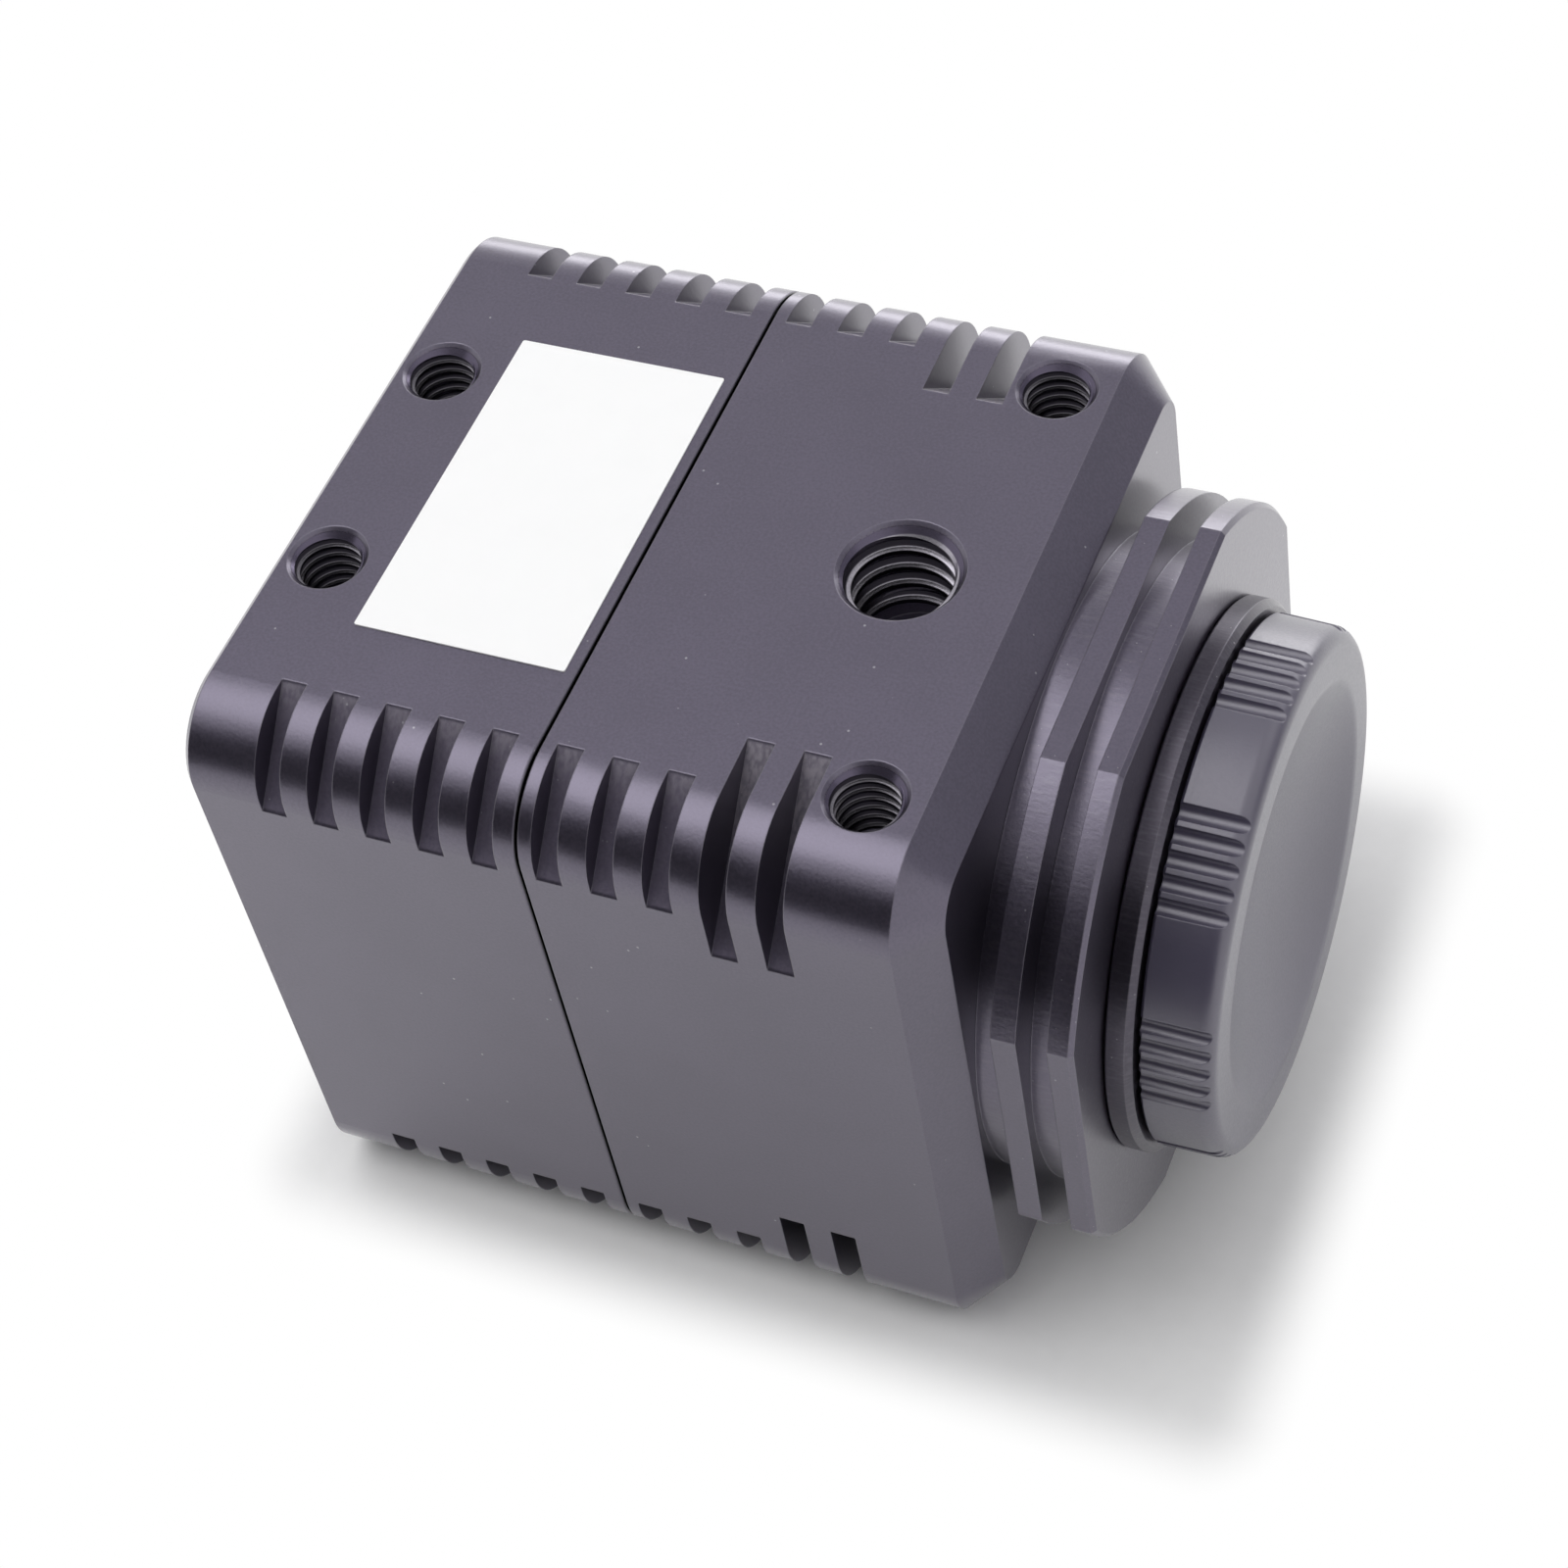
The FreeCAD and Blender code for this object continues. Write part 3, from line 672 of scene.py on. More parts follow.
    def _turned_marks(self, sheet: SurfaceSheet) -> Socket:
        """Fine marks across the neck's rounds, as left by turning and blasting.

        Args:
            sheet: the material's node sheet.

        Returns:
            The marks' relief, from 0 to 1.
        """
        angle = sheet.maths("ARCTAN2", sheet.across, sheet.up)
        reach = sheet.maths("SQRT", sheet.total(sheet.maths("POWER", sheet.across, 2.0),
                                                sheet.maths("POWER", sheet.up, 2.0)))
        ring = sheet.add("ShaderNodeCombineXYZ", {
            index: sheet.product(value, factor) for index, (value, factor)
            in enumerate(zip((sheet.along, reach, angle), self.mark_stretch))})
        core, fins = self.round_reaches
        rounds = sheet.maths("MAXIMUM", sheet.range(reach, core + SOFT_END, core),
                             sheet.range(reach, fins, fins + SHARP_END))
        return sheet.product(sheet.noise(self.mark_scale, where=ring.outputs[0]),
                             self._neck(sheet), rounds)

    def _dust(self, sheet: SurfaceSheet, cuts: Socket) -> Socket:
        """Dust all over, and finer lint in the slots and on the neck.

        Args:
            sheet: the material's node sheet.
            cuts: the mask of the slots' floors.

        Returns:
            A mask of the specks.
        """
        places = sheet.maths("MAXIMUM", cuts, self._neck(sheet))
        dust = sheet.product(sheet.specks(self.dust.scale, self.dust.size), self.dust.strength)
        lint = sheet.product(sheet.specks(self.lint.scale, self.lint.size), places,
                             self.lint.strength)
        return sheet.maths("MAXIMUM", dust, lint)

    def _painted_seam_shade(self, sheet: SurfaceSheet) -> Socket:
        """The joint line between the two shells, darkened with painted shade so that the gap looks
        deeper.

        Args:
            sheet: the material's node sheet.

        Returns:
            A mask that is 1 in the line.
        """
        away = sheet.maths("ABSOLUTE", sheet.maths("SUBTRACT", sheet.along, self.seam))
        return sheet.range(away, self.seam_half_width + self.seam_end, self.seam_half_width)

    def build(self) -> bpy.types.Material:
        """Builds the finish.

        Returns:
            The material.
        """
        sheet = SurfaceSheet(self.name)
        fine = sheet.noise(self.grain_scale)
        marks = self._turned_marks(sheet)
        cuts = self._slots(sheet)
        chatter = sheet.noise(self.chatter_scale, detail=4.0,
                              where=sheet.stretched(self.chatter_stretch))
        rounded = sheet.rounded(self.edge_radius)
        broad = sheet.noise(self.tone_scale, detail=2.0)
        tone = sheet.total(sheet.product(broad, self.tone_share),
                           sheet.product(fine, 1.0 - self.tone_share))
        colour = sheet.mix(sheet.range(tone, *self.tone_band),
                           scaled(self.colour, 1.0 - self.tone_spread),
                           scaled(self.colour, 1.0 + self.tone_spread))
        for mask, layer in (
                (sheet.product(sheet.range(marks, *self.mark_band), self.mark_wear),
                 self.worn_colour),
                # Bare metal on the slots' floors, with painted light and shade along them
                (self._bare_and_painted_light(sheet, cuts, chatter), self.cut_colour),
                (sheet.product(sheet.edge_mask(rounded), self.wear), self.worn_colour),
                (self._dust(sheet, cuts), self.dust_colour),
                # Painted shade in the joint line between the shells
                (self._painted_seam_shade(sheet), scaled(self.colour, self.seam_painted_shade))):
            colour = sheet.mix(mask, colour, layer)
        height = sheet.total(fine, sheet.product(marks, self.mark_grain),
                             sheet.product(chatter, cuts, self.cut_grain / self.grain))
        normal = sheet.bump(height, self.grain_strength, self.grain, rounded)
        rough = sheet.range(fine, *GRAIN_BAND, self.roughness - self.roughness_spread,
                            self.roughness + self.roughness_spread)
        rough = sheet.total(rough, sheet.product(cuts, self.cut_roughness))
        metallic, gloss, skin = (sheet.range(cuts, 0.0, 1.0, plain, cut) for plain, cut in (
            (self.metallic, self.cut_metallic), (self.gloss, self.cut_gloss), (self.skin, 0.0)))
        return sheet.surface({"Base Color": colour, "Roughness": rough, "Normal": normal,
                              "Metallic": metallic, "Specular IOR Level": gloss,
                              "Coat Weight": skin, "Coat Roughness": self.skin_roughness,
                              "Coat Normal": normal})


@dataclass(frozen=True)
class TappedMetal:
    """A tapped hole's thread along +Z, with a painted highlight on the outer part of its flanks
    and painted shade on its crests and in its roots.
    """

    name: str
    centre: tuple[float, float]
    crest_radius: float
    root_radius: float
    # Painted highlight on the outer part of the flanks, and painted shade on the crests and in the
    # roots
    flank_highlight_tone: float
    flank_highlight_colour: Colour = (1.0, 0.95, 1.07)
    root_shade_colour: Colour = (0.016, 0.014, 0.020)
    mouth_colour: Colour = (0.107, 0.093, 0.136)
    mouth_height: float = 19.45
    crest_share: float = 0.12
    flank_shares: Band = (0.60, 0.40)
    roughness: float = 0.26
    metallic: float = 0.9
    grain: float = 0.006
    grain_scale: float = 6.0
    grain_strength: float = 0.4
    grain_band: Band = (0.2, 0.7)
    grain_shade: float = 0.8

    def build(self) -> bpy.types.Material:
        """Builds the finish.

        Returns:
            The material.
        """
        sheet = SurfaceSheet(self.name)
        sides = [sheet.maths("POWER", sheet.maths("SUBTRACT", value, middle), 2.0)
                 for value, middle in zip((sheet.along, sheet.across), self.centre)]
        reach = sheet.maths("SQRT", sheet.total(*sides))
        rise = self.root_radius - self.crest_radius
        outer = sheet.range(reach, self.crest_radius,
                            self.crest_radius + self.crest_share * rise)
        inner = sheet.range(reach, *(self.crest_radius + share * rise
                                     for share in self.flank_shares))
        fine = sheet.noise(self.grain_scale)
        # Painted highlight on the flanks' outer part; the crests and the roots keep the painted
        # shade
        painted_highlight = sheet.product(outer, inner, sheet.range(fine, *self.grain_band,
                                                            self.grain_shade, 1.0))
        colour = sheet.mix(painted_highlight, self.root_shade_colour,
                           scaled(self.flank_highlight_colour, self.flank_highlight_tone))
        mouth = sheet.range(sheet.up, self.mouth_height, self.mouth_height + SHARP_END)
        colour = sheet.mix(mouth, colour, self.mouth_colour)
        normal = sheet.bump(fine, self.grain_strength, self.grain)
        return sheet.surface({"Base Color": colour, "Roughness": self.roughness,
                              "Metallic": self.metallic, "Normal": normal})


@dataclass(frozen=True)
class SatinMoulding:
    """Moulded satin plastic with a fine spark-eroded grain."""

    name: str
    colour: Colour
    roughness: float = 0.38
    gloss: float = 0.5
    skin: float = 0.0
    skin_roughness: float = 0.26
    tint: Colour = (1.0, 1.0, 1.0)
    refraction: float = 1.55
    roughness_spread: Band = (0.04, 0.06)
    grain: float = 0.008
    grain_scale: float = 7.0
    grain_strength: float = 0.4
    tone_scale: float = 0.2
    tone_spread: float = 0.15
    edge_radius: float = 0.08
    edge_wear: float = 0.25
    edge_tone: float = 2.0

    def build(self) -> bpy.types.Material:
        """Builds the finish.

        Returns:
            The material.
        """
        sheet = SurfaceSheet(self.name)
        fine = sheet.noise(self.grain_scale, detail=4.0)
        colour = sheet.mix(sheet.noise(self.tone_scale, detail=2.0),
                           scaled(self.colour, 1.0 - self.tone_spread),
                           scaled(self.colour, 1.0 + self.tone_spread))
        rounded = sheet.rounded(self.edge_radius)
        colour = sheet.mix(sheet.product(sheet.edge_mask(rounded), self.edge_wear), colour,
                           scaled(self.colour, self.edge_tone))
        normal = sheet.bump(fine, self.grain_strength, self.grain, rounded)
        less, more = self.roughness_spread
        rough = sheet.range(fine, *GRAIN_BAND, self.roughness - less, self.roughness + more)
        return sheet.surface({"Base Color": colour, "Roughness": rough, "Normal": normal,
                              "Specular IOR Level": self.gloss, "IOR": self.refraction,
                              "Specular Tint": (*self.tint, 1.0),
                              "Coat Weight": self.skin, "Coat Roughness": self.skin_roughness,
                              "Coat Normal": normal})


@dataclass(frozen=True)
class PlainMetal:
    """A plated or turned metal with faint streaks."""

    name: str
    colour: Colour
    roughness: float = 0.3
    roughness_spread: Band = (0.04, 0.06)
    streak: float = 5.0
    streak_scale: float = 2.0
    streak_tone: float = 0.9
    grain: float = 0.004
    grain_scale: float = 9.0
    grain_strength: float = 0.2
    edge_radius: float = 0.05

    def build(self) -> bpy.types.Material:
        """Builds the finish.

        Returns:
            The material.
        """
        sheet = SurfaceSheet(self.name)
        streaks = sheet.noise(self.streak_scale,
                              where=sheet.stretched((self.streak, 1.0, 1.0)))
        colour = sheet.mix(streaks, scaled(self.colour, self.streak_tone), self.colour)
        less, more = self.roughness_spread
        rough = sheet.range(streaks, *GRAIN_BAND, self.roughness - less, self.roughness + more)
        normal = sheet.bump(sheet.noise(self.grain_scale, detail=2.0), self.grain_strength,
                            self.grain, sheet.rounded(self.edge_radius))
        return sheet.surface({"Base Color": colour, "Roughness": rough, "Metallic": 1.0,
                              "Normal": normal})


@dataclass(frozen=True)
class OpticalGlass:
    """Coated flat glass."""

    name: str = "optical_glass"
    tint: Colour = (0.80, 0.93, 0.95)
    film_tint: Colour = (0.88, 0.90, 0.97)
    film_scale: float = 0.3
    roughness: float = 0.03
    refraction: float = 1.5

    def build(self) -> bpy.types.Material:
        """Builds the finish.

        Returns:
            The material.
        """
        sheet = SurfaceSheet(self.name)
        colour = sheet.mix(sheet.noise(self.film_scale, detail=1.0), self.tint,
                           self.film_tint)
        return sheet.surface({"Base Color": colour, "Roughness": self.roughness,
                              "IOR": self.refraction, "Transmission Weight": 1.0})


@dataclass(frozen=True)
class CircuitBoard:
    """Solder mask over copper tracks."""

    name: str = "circuit_board"
    colour: Colour = (0.012, 0.11, 0.045)
    track_tone: float = 1.7
    track_scale: float = 0.9
    track_band: Band = (0.45, 0.40)
    track_height: float = 0.02
    track_strength: float = 0.4
    roughness: float = 0.35

    def build(self) -> bpy.types.Material:
        """Builds the finish.

        Returns:
            The material.
        """
        sheet = SurfaceSheet(self.name)
        cells = sheet.add("ShaderNodeTexVoronoi", {"Vector": sheet.place,
                                                   "Scale": self.track_scale},
                          distance="MANHATTAN")
        tracks = sheet.range(cells.outputs["Distance"], *self.track_band)
        colour = sheet.mix(tracks, self.colour, scaled(self.colour, self.track_tone))
        normal = sheet.bump(tracks, self.track_strength, self.track_height)
        return sheet.surface({"Base Color": colour, "Roughness": self.roughness,
                              "Normal": normal})


@dataclass(frozen=True)
class SensorSilicon:
    """A polished sensor die with its pixel field inside a paler edge."""

    name: str = "sensor_silicon"
    field_colour: Colour = (0.045, 0.075, 0.085)
    edge_colour: Colour = (0.20, 0.17, 0.15)
    half_field: tuple[float, float] = (3.1, 1.95)
    sheen_scale: float = 0.25
    sheen_tone: float = 1.6
    roughness: float = 0.12
    metallic: float = 0.6

    def build(self) -> bpy.types.Material:
        """Builds the finish.

        Returns:
            The material.
        """
        sheet = SurfaceSheet(self.name)
        inside = sheet.product(*(
            sheet.range(sheet.maths("ABSOLUTE", value), half + SHARP_END, half)
            for value, half in zip((sheet.across, sheet.up), self.half_field)))
        sheen = sheet.mix(sheet.noise(self.sheen_scale, detail=1.0), self.field_colour,
                          scaled(self.field_colour, self.sheen_tone))
        colour = sheet.mix(inside, self.edge_colour, sheen)
        return sheet.surface({"Base Color": colour, "Roughness": self.roughness,
                              "Metallic": self.metallic})


@dataclass(frozen=True)
class LabelFilm:
    """Bare white printed-label film."""

    name: str = "label_film"
    colour: Colour = (0.985, 0.985, 0.985)
    tone: float = 0.97
    tone_scale: float = 0.5
    grain: float = 0.01
    grain_scale: float = 3.0
    grain_strength: float = 0.15
    roughness: float = 0.45

    def build(self) -> bpy.types.Material:
        """Builds the finish.

        Returns:
            The material.
        """
        sheet = SurfaceSheet(self.name)
        colour = sheet.mix(sheet.noise(self.tone_scale), scaled(self.colour, self.tone),
                           self.colour)
        normal = sheet.bump(sheet.noise(self.grain_scale, detail=2.0), self.grain_strength,
                            self.grain)
        return sheet.surface({"Base Color": colour, "Roughness": self.roughness,
                              "Normal": normal})


class Finishes:
    """The materials, built once and shared by slot."""

    def __init__(self) -> None:
        """Builds a material for each slot."""
        self.by_slot = {
            Slot.SHELL: BlastedAnodise().build(),
            # The ring's darker colour is painted shade, for the shade that the fins and the cap
            # cast on it
            Slot.RING: BlastedAnodise(name="turned_ring_painted_shade", colour=(0.066, 0.058, 0.080), skin=0.6,
                                      slot_span=(-1.0, 0.0), neck_start=0.0,
                                      round_reaches=(15.1, 16.0), grain=0.008).build(),
            Slot.CAP: SatinMoulding("cap_plastic", (0.053, 0.047, 0.078), gloss=1.0,
                                    skin=0.75, skin_roughness=0.30, tint=(0.94, 0.91, 1.0),
                                    grain=0.012).build(),
            Slot.GLASS: OpticalGlass().build(),
            Slot.RUBBER: SatinMoulding("gasket_rubber", (0.03, 0.03, 0.03),
                                       roughness=0.7).build(),
            Slot.CERAMIC: SatinMoulding("sensor_ceramic", (0.26, 0.22, 0.19),
                                        roughness=0.5).build(),
            Slot.SILICON: SensorSilicon().build(),
            Slot.BOARD: CircuitBoard().build(),
            Slot.CHIP: SatinMoulding("chip_plastic", (0.025, 0.025, 0.027),
                                     roughness=0.5).build(),
            Slot.INSERT: SatinMoulding("connector_plastic", (0.03, 0.03, 0.03),
                                       roughness=0.4).build(),
            Slot.BRASS: PlainMetal("spacer_brass", (0.70, 0.55, 0.28), roughness=0.28).build(),
            Slot.SCREW: PlainMetal("screw_steel", (0.09, 0.09, 0.095), roughness=0.35).build(),
            Slot.CAN: PlainMetal("component_can", (0.75, 0.75, 0.76), roughness=0.3).build(),
            Slot.NICKEL: PlainMetal("connector_metal", (0.66, 0.65, 0.63), roughness=0.24).build(),
            Slot.GOLD: PlainMetal("contact_metal", (0.90, 0.65, 0.25), roughness=0.2).build(),
            Slot.LIGHT: SatinMoulding("light_plastic", (0.45, 0.62, 0.48),
                                      roughness=0.2).build(),
            Slot.FILM: LabelFilm().build(),
        }

    def of(self, slot: Slot) -> bpy.types.Material:
        """The material of a slot."""
        return self.by_slot[slot]

    def dress_nodes(self) -> None:
        """Paints every CAD node by its material slot."""
        for entry in frame["record"]["subparts"]:
            paint(frame["nodes"][entry["node"]], self.of(Slot(entry["material_slot"])))


# Threads

@dataclass
class Thread:
    """The ridge of one internal or external thread.

    The ridge stands on the root radius and ends at the crest radius, so that it points
    inwards in a hole and outwards on a boss. It climbs from the start height towards the
    mouth, which is at height 0. Sizes are in millimetres, slopes and turns in degrees.
    """

    name: str
    centre: tuple[float, float, float]
    direction: Direction
    root_radius: float
    crest_radius: float
    pitch: float
    start: float
    turns: int
    body: Body = Body.CAMERA
    slot: Slot = Slot.SHELL
    countersink_radius: float = 0.0
    steps: int = 72
    phase: float = 0.0
    root_sink: float = 0.04
    flat_share: float = 0.10
    shoulder_share: float = 0.45
    outer_slope: float = 18.0
    root_slope: float = 40.0
    mouth_clearance: float = 1.0
    mouth_overlap: float = 0.3
    smooth_angle: float = 15.0
    # Brightness of the painted highlight on a tapped thread's flanks
    flank_highlight_tone: float = 0.19

    def _profile(self) -> list[tuple[float, float]]:
        """The ridge's section, narrow and flat at its crest and steeper towards its root.

        Returns:
            Radius and height of each corner, root to crest and back.
        """
        rise = self.crest_radius - self.root_radius
        root = self.root_radius - math.copysign(self.root_sink, rise)
        shoulder = self.crest_radius - self.shoulder_share * rise
        flat = self.flat_share * self.pitch
        at_shoulder = flat + (abs(shoulder - self.crest_radius)
                              * math.tan(math.radians(self.outer_slope)))
        at_root = at_shoulder + abs(root - shoulder) * math.tan(math.radians(self.root_slope))
        upper = [(self.crest_radius, flat), (shoulder, at_shoulder), (root, at_root)]
        lower = [(radius, -height) for radius, height in reversed(upper)]
        return lower + upper

    def _ridge(self) -> bpy.types.Object:
        """Screws the section along +Z.

        Returns:
            A closed ridge.
        """
        start_fresh()
        profile = self._profile()
        bpy.ops.mesh.primitive_circle_add(vertices=len(profile), radius=self.pitch * MM)
        ridge = bpy.context.object
        for vertex, (radius, height) in zip(ridge.data.vertices, profile, strict=True):
            vertex.co = (radius * MM, 0.0, (self.start + height) * MM)
        screw = ridge.modifiers.new("screw", "SCREW")
        screw.axis = "Z"
        screw.steps = self.steps
        screw.render_steps = self.steps
        screw.iterations = self.turns
        screw.screw_offset = self.pitch * MM
        screw.use_merge_vertices = True
        screw.merge_threshold = MERGE_REACH / 2 * MM
        apply_modifiers(ridge)
        self._close_ends(ridge)
        point_outwards(ridge)
        return ridge

    def _close_ends(self, ridge: bpy.types.Object) -> None:
        """Fills the two open ends of the screwed section.

        Args:
            ridge: the screwed section.
        """
        make_active(ridge)
        bpy.ops.object.mode_set(mode="EDIT")
        bpy.ops.mesh.select_mode(type="EDGE")
        bpy.ops.mesh.select_all(action="DESELECT")
        bpy.ops.mesh.select_non_manifold()
        bpy.ops.mesh.edge_face_add()
        bpy.ops.object.mode_set(mode="OBJECT")

    def _mouth_cutter(self) -> bpy.types.Object:
        """The cone of the countersink, with all that lies above it.

        Returns:
            A closed cutter.
        """
        rise = 2 * self.pitch + self.mouth_clearance
        depth = self.countersink_radius - self.crest_radius + self.mouth_overlap
        start_fresh()
        bpy.ops.mesh.primitive_cone_add(
            vertices=CUTTER_SIDES, radius1=(self.countersink_radius - depth) * MM,
            radius2=(self.countersink_radius + rise) * MM, depth=(depth + rise) * MM,
            location=(0.0, 0.0, (rise - depth) / 2 * MM))
        return bpy.context.object

    def build(self, finishes: Finishes) -> None:
        """Builds the ridge in its hole or on its boss.

        Args:
            finishes: the shared materials.
        """
        ridge = self._ridge()
        ridge.rotation_euler = (0.0, 0.0, math.radians(self.phase))
        settle(ridge)
        if self.countersink_radius > 0.0:
            cut_away(ridge, self._mouth_cutter())
        ridge.rotation_euler = self.direction.turn()
        ridge.location = Vector(self.centre) * MM
        settle(ridge)
        smooth(ridge, self.smooth_angle)
        material = finishes.of(self.slot)
        if self.direction is Direction.UP:
            material = TappedMetal(f"{self.name}_metal", self.centre[:2], self.crest_radius,
                                   self.root_radius, self.flank_highlight_tone).build()
        finish_piece(ridge, self.name, self.body, material)


# Sub-assemblies, their sizes in millimetres and their angles in degrees

@dataclass
class MountingHoles:
    """The threads of the tripod hole and the four screw holes in the top face."""

    top: float = 40.0
    tripod_x: float = 11.85
    tripod_depth: float = 6.3
    deeper_radius: float = 3.10
    deeper_start: float = 4.8
    deeper_end: float = 6.9
    screw_depth: float = 4.8
    smooth_angle: float = 15.0
    screw_places: tuple[tuple[str, float, float], ...] = (
        ("front_near", 15.35, -14.0), ("front_far", 15.35, 14.0),
        ("rear_near", -17.6, -7.0), ("rear_far", -17.6, 7.0))

    def _deepen(self, finishes: Finishes) -> None:
        """Cuts the tripod hole to its full depth in a copy of the front shell.

        Args:
            finishes: the shared materials.
        """
        shell = copy_of(frame["nodes"]["front_housing"])
        shell.parent = None
        point_outwards(shell)
        bpy.ops.mesh.customdata_custom_splitnormals_clear()
        start_fresh()
        middle = self.top - (self.deeper_start + self.deeper_end) / 2
        bpy.ops.mesh.primitive_cylinder_add(
            vertices=CUTTER_SIDES, radius=self.deeper_radius * MM,
            depth=(self.deeper_end - self.deeper_start) * MM,
            location=Vector((self.tripod_x, 0.0, middle)) * MM)
        cut_away(shell, bpy.context.object)
        smooth(shell, self.smooth_angle)
        weigh_normals(shell)
        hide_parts("front_housing")
        finish_piece(shell, "front_shell", Body.CAMERA, finishes.of(Slot.SHELL))

    def build(self, finishes: Finishes) -> None:
        """Builds the full tripod hole and the five threads.

        Args:
            finishes: the shared materials.
        """
        self._deepen(finishes)
        Thread("tripod_thread", (self.tripod_x, 0.0, self.top), Direction.UP,
               root_radius=3.175, crest_radius=2.68, pitch=1.27, start=-self.tripod_depth,
               turns=6, countersink_radius=3.4, phase=-113.0, flank_highlight_tone=0.42).build(finishes)
        for name, x, y in self.screw_places:
            Thread(f"{name}_thread", (x, y, self.top), Direction.UP, root_radius=2.0,
                   crest_radius=1.66, pitch=0.7, start=-self.screw_depth, turns=8,
                   countersink_radius=2.2).build(finishes)


@dataclass
class LensMount:
    """The lens thread in the mount ring."""

    flange: float = 27.71
    bore_radius: float = 12.7
    crest_radius: float = 12.27
    mouth_radius: float = 13.2
    pitch: float = 0.794
    depth: float = 3.7
    turns: int = 5
    steps: int = 120

    def build(self, finishes: Finishes) -> None:
        """Builds the thread.

        Args:
            finishes: the shared materials.
        """
        Thread("lens_thread", (self.flange, 0.0, AXIS_HEIGHT), Direction.FORWARD,
               self.bore_radius, self.crest_radius, self.pitch, -self.depth, self.turns,
               slot=Slot.RING, countersink_radius=self.mouth_radius,
               steps=self.steps).build(finishes)


@dataclass
class DustCap:
    """The cap with its dished front, grip grooves and threaded boss, turned along +Z."""

    rear: float = 27.89
    front: float = 31.79
    radius: float = 14.4
    draft: float = 0.08
    rim_round: float = 0.95
    rear_break: float = 0.15
    rim_steps: int = 12
    dish_radius: float = 11.2
    dish_depth: float = 2.7
    dish_steps: int = 20
    centre_radius: float = 0.001
    lip_round: float = 1.2
    lip_turn: float = 25.0
    lip_steps: int = 6
    lip_gap: float = 0.04
    web: float = 1.1
    boss_length: float = 3.4
    boss_radius: float = 12.17
    boss_inner_radius: float = 11.23
    boss_inner_break: float = 0.2
    boss_outer_break: float = 0.15
    thread_crest: float = 12.60
    thread_turns: int = 2
    thread_lead: float = 1.5
    groups: int = 8
    grooves: int = 5
    groove_pitch: float = 4.8
    group_offset: float = 33.5
    groove_width: float = 0.92
    groove_depth: float = 0.42
    groove_sides: int = 32
    sides: int = 240
    smooth_angle: float = 28.0

    def _stations(self) -> list[tuple[float, float]]:
        """The section, from the web's back to the dish's middle.

        Returns:
            Height and radius of each station.
        """
        side = self.radius - self.draft
        web_back = self.front - self.dish_depth - self.web
        boss_end = self.rear - self.boss_length
        stations = [(web_back, self.boss_inner_radius),
                    (boss_end + self.boss_inner_break, self.boss_inner_radius),
                    (boss_end, self.boss_inner_radius + self.boss_inner_break),
                    (boss_end, self.boss_radius - self.boss_outer_break),
                    (boss_end + self.boss_outer_break, self.boss_radius),
                    (self.rear, self.boss_radius),
                    (self.rear, self.radius - self.rear_break),
                    (self.rear + self.rear_break, self.radius)]
        stations += arc((self.front - self.rim_round, side - self.rim_round), self.rim_round,
                        90.0, 0.0, self.rim_steps)
        turn = math.radians(self.lip_turn)
        lip = self.dish_radius + self.lip_round * math.sin(turn)
        stations += [(self.front, lip + self.lip_gap)]
        stations += arc((self.front - self.lip_round, lip), self.lip_round, 0.0,
                        -self.lip_turn, self.lip_steps)
        bowl_depth = self.dish_depth - self.lip_round * (1.0 - math.cos(turn))
        bowl_radius = (self.dish_radius ** 2 + bowl_depth ** 2) / (2 * bowl_depth)
        bowl_centre = self.front - self.dish_depth + bowl_radius
        spread = math.degrees(math.asin(self.dish_radius / bowl_radius))
        bowl = arc((bowl_centre, 0.0), bowl_radius, 180.0 - spread, 180.0, self.dish_steps)
        stations += bowl[1:-1]
        return stations + [(self.front - self.dish_depth, self.centre_radius)]

    def _groove_cutters(self) -> bpy.types.Object:
        """All grip grooves as one cutter, from one half-round channel and its copies.

        Returns:
            The joined cutter.
        """
        half = self.groove_width / 2
        channel = (half ** 2 + self.groove_depth ** 2) / (2 * self.groove_depth)
        reach = self.radius - self.groove_depth + channel
        length = self.front - self.rear + 2 * channel
        start_fresh()
        bpy.ops.mesh.primitive_cylinder_add(vertices=self.groove_sides, radius=channel * MM,
                                            depth=length * MM)
        first = bpy.context.object
        cutters = []
        middle = (self.grooves - 1) / 2
        for group in range(self.groups):
            for index in range(self.grooves):
                turn = self.group_offset + group * 360.0 / self.groups
                angle = math.radians(turn + (index - middle) * self.groove_pitch)
                cutter = copy_of(first)
                cutter.rotation_euler = (0.0, 0.0, angle)
                cutter.location = Vector((-reach * math.sin(angle), reach * math.cos(angle),
                                          (self.front + self.rear) / 2)) * MM
                settle(cutter)
                cutters.append(cutter)
        bpy.data.objects.remove(first)
        return join(cutters)

    def _body(self) -> bpy.types.Object:
        """The turned cap with its grooves cut, still along +Z.

        Returns:
            The cap.
        """
        cap = turn_profile(self._stations(), self.sides)
        cut_away(cap, self._groove_cutters())
        return cap

    def build(self, finishes: Finishes) -> None:
        """Builds the cap over its CAD solid, and its thread.

        Args:
            finishes: the shared materials.
        """
        cap = self._body()
        cap.rotation_euler = Direction.FORWARD.turn()
        cap.location = (0.0, 0.0, AXIS_HEIGHT * MM)
        settle(cap)
        smooth(cap, self.smooth_angle)
        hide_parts("dust_cap")
        finish_piece(cap, "cap_moulding", Body.CAP, finishes.of(Slot.CAP))
        self._thread().build(finishes)

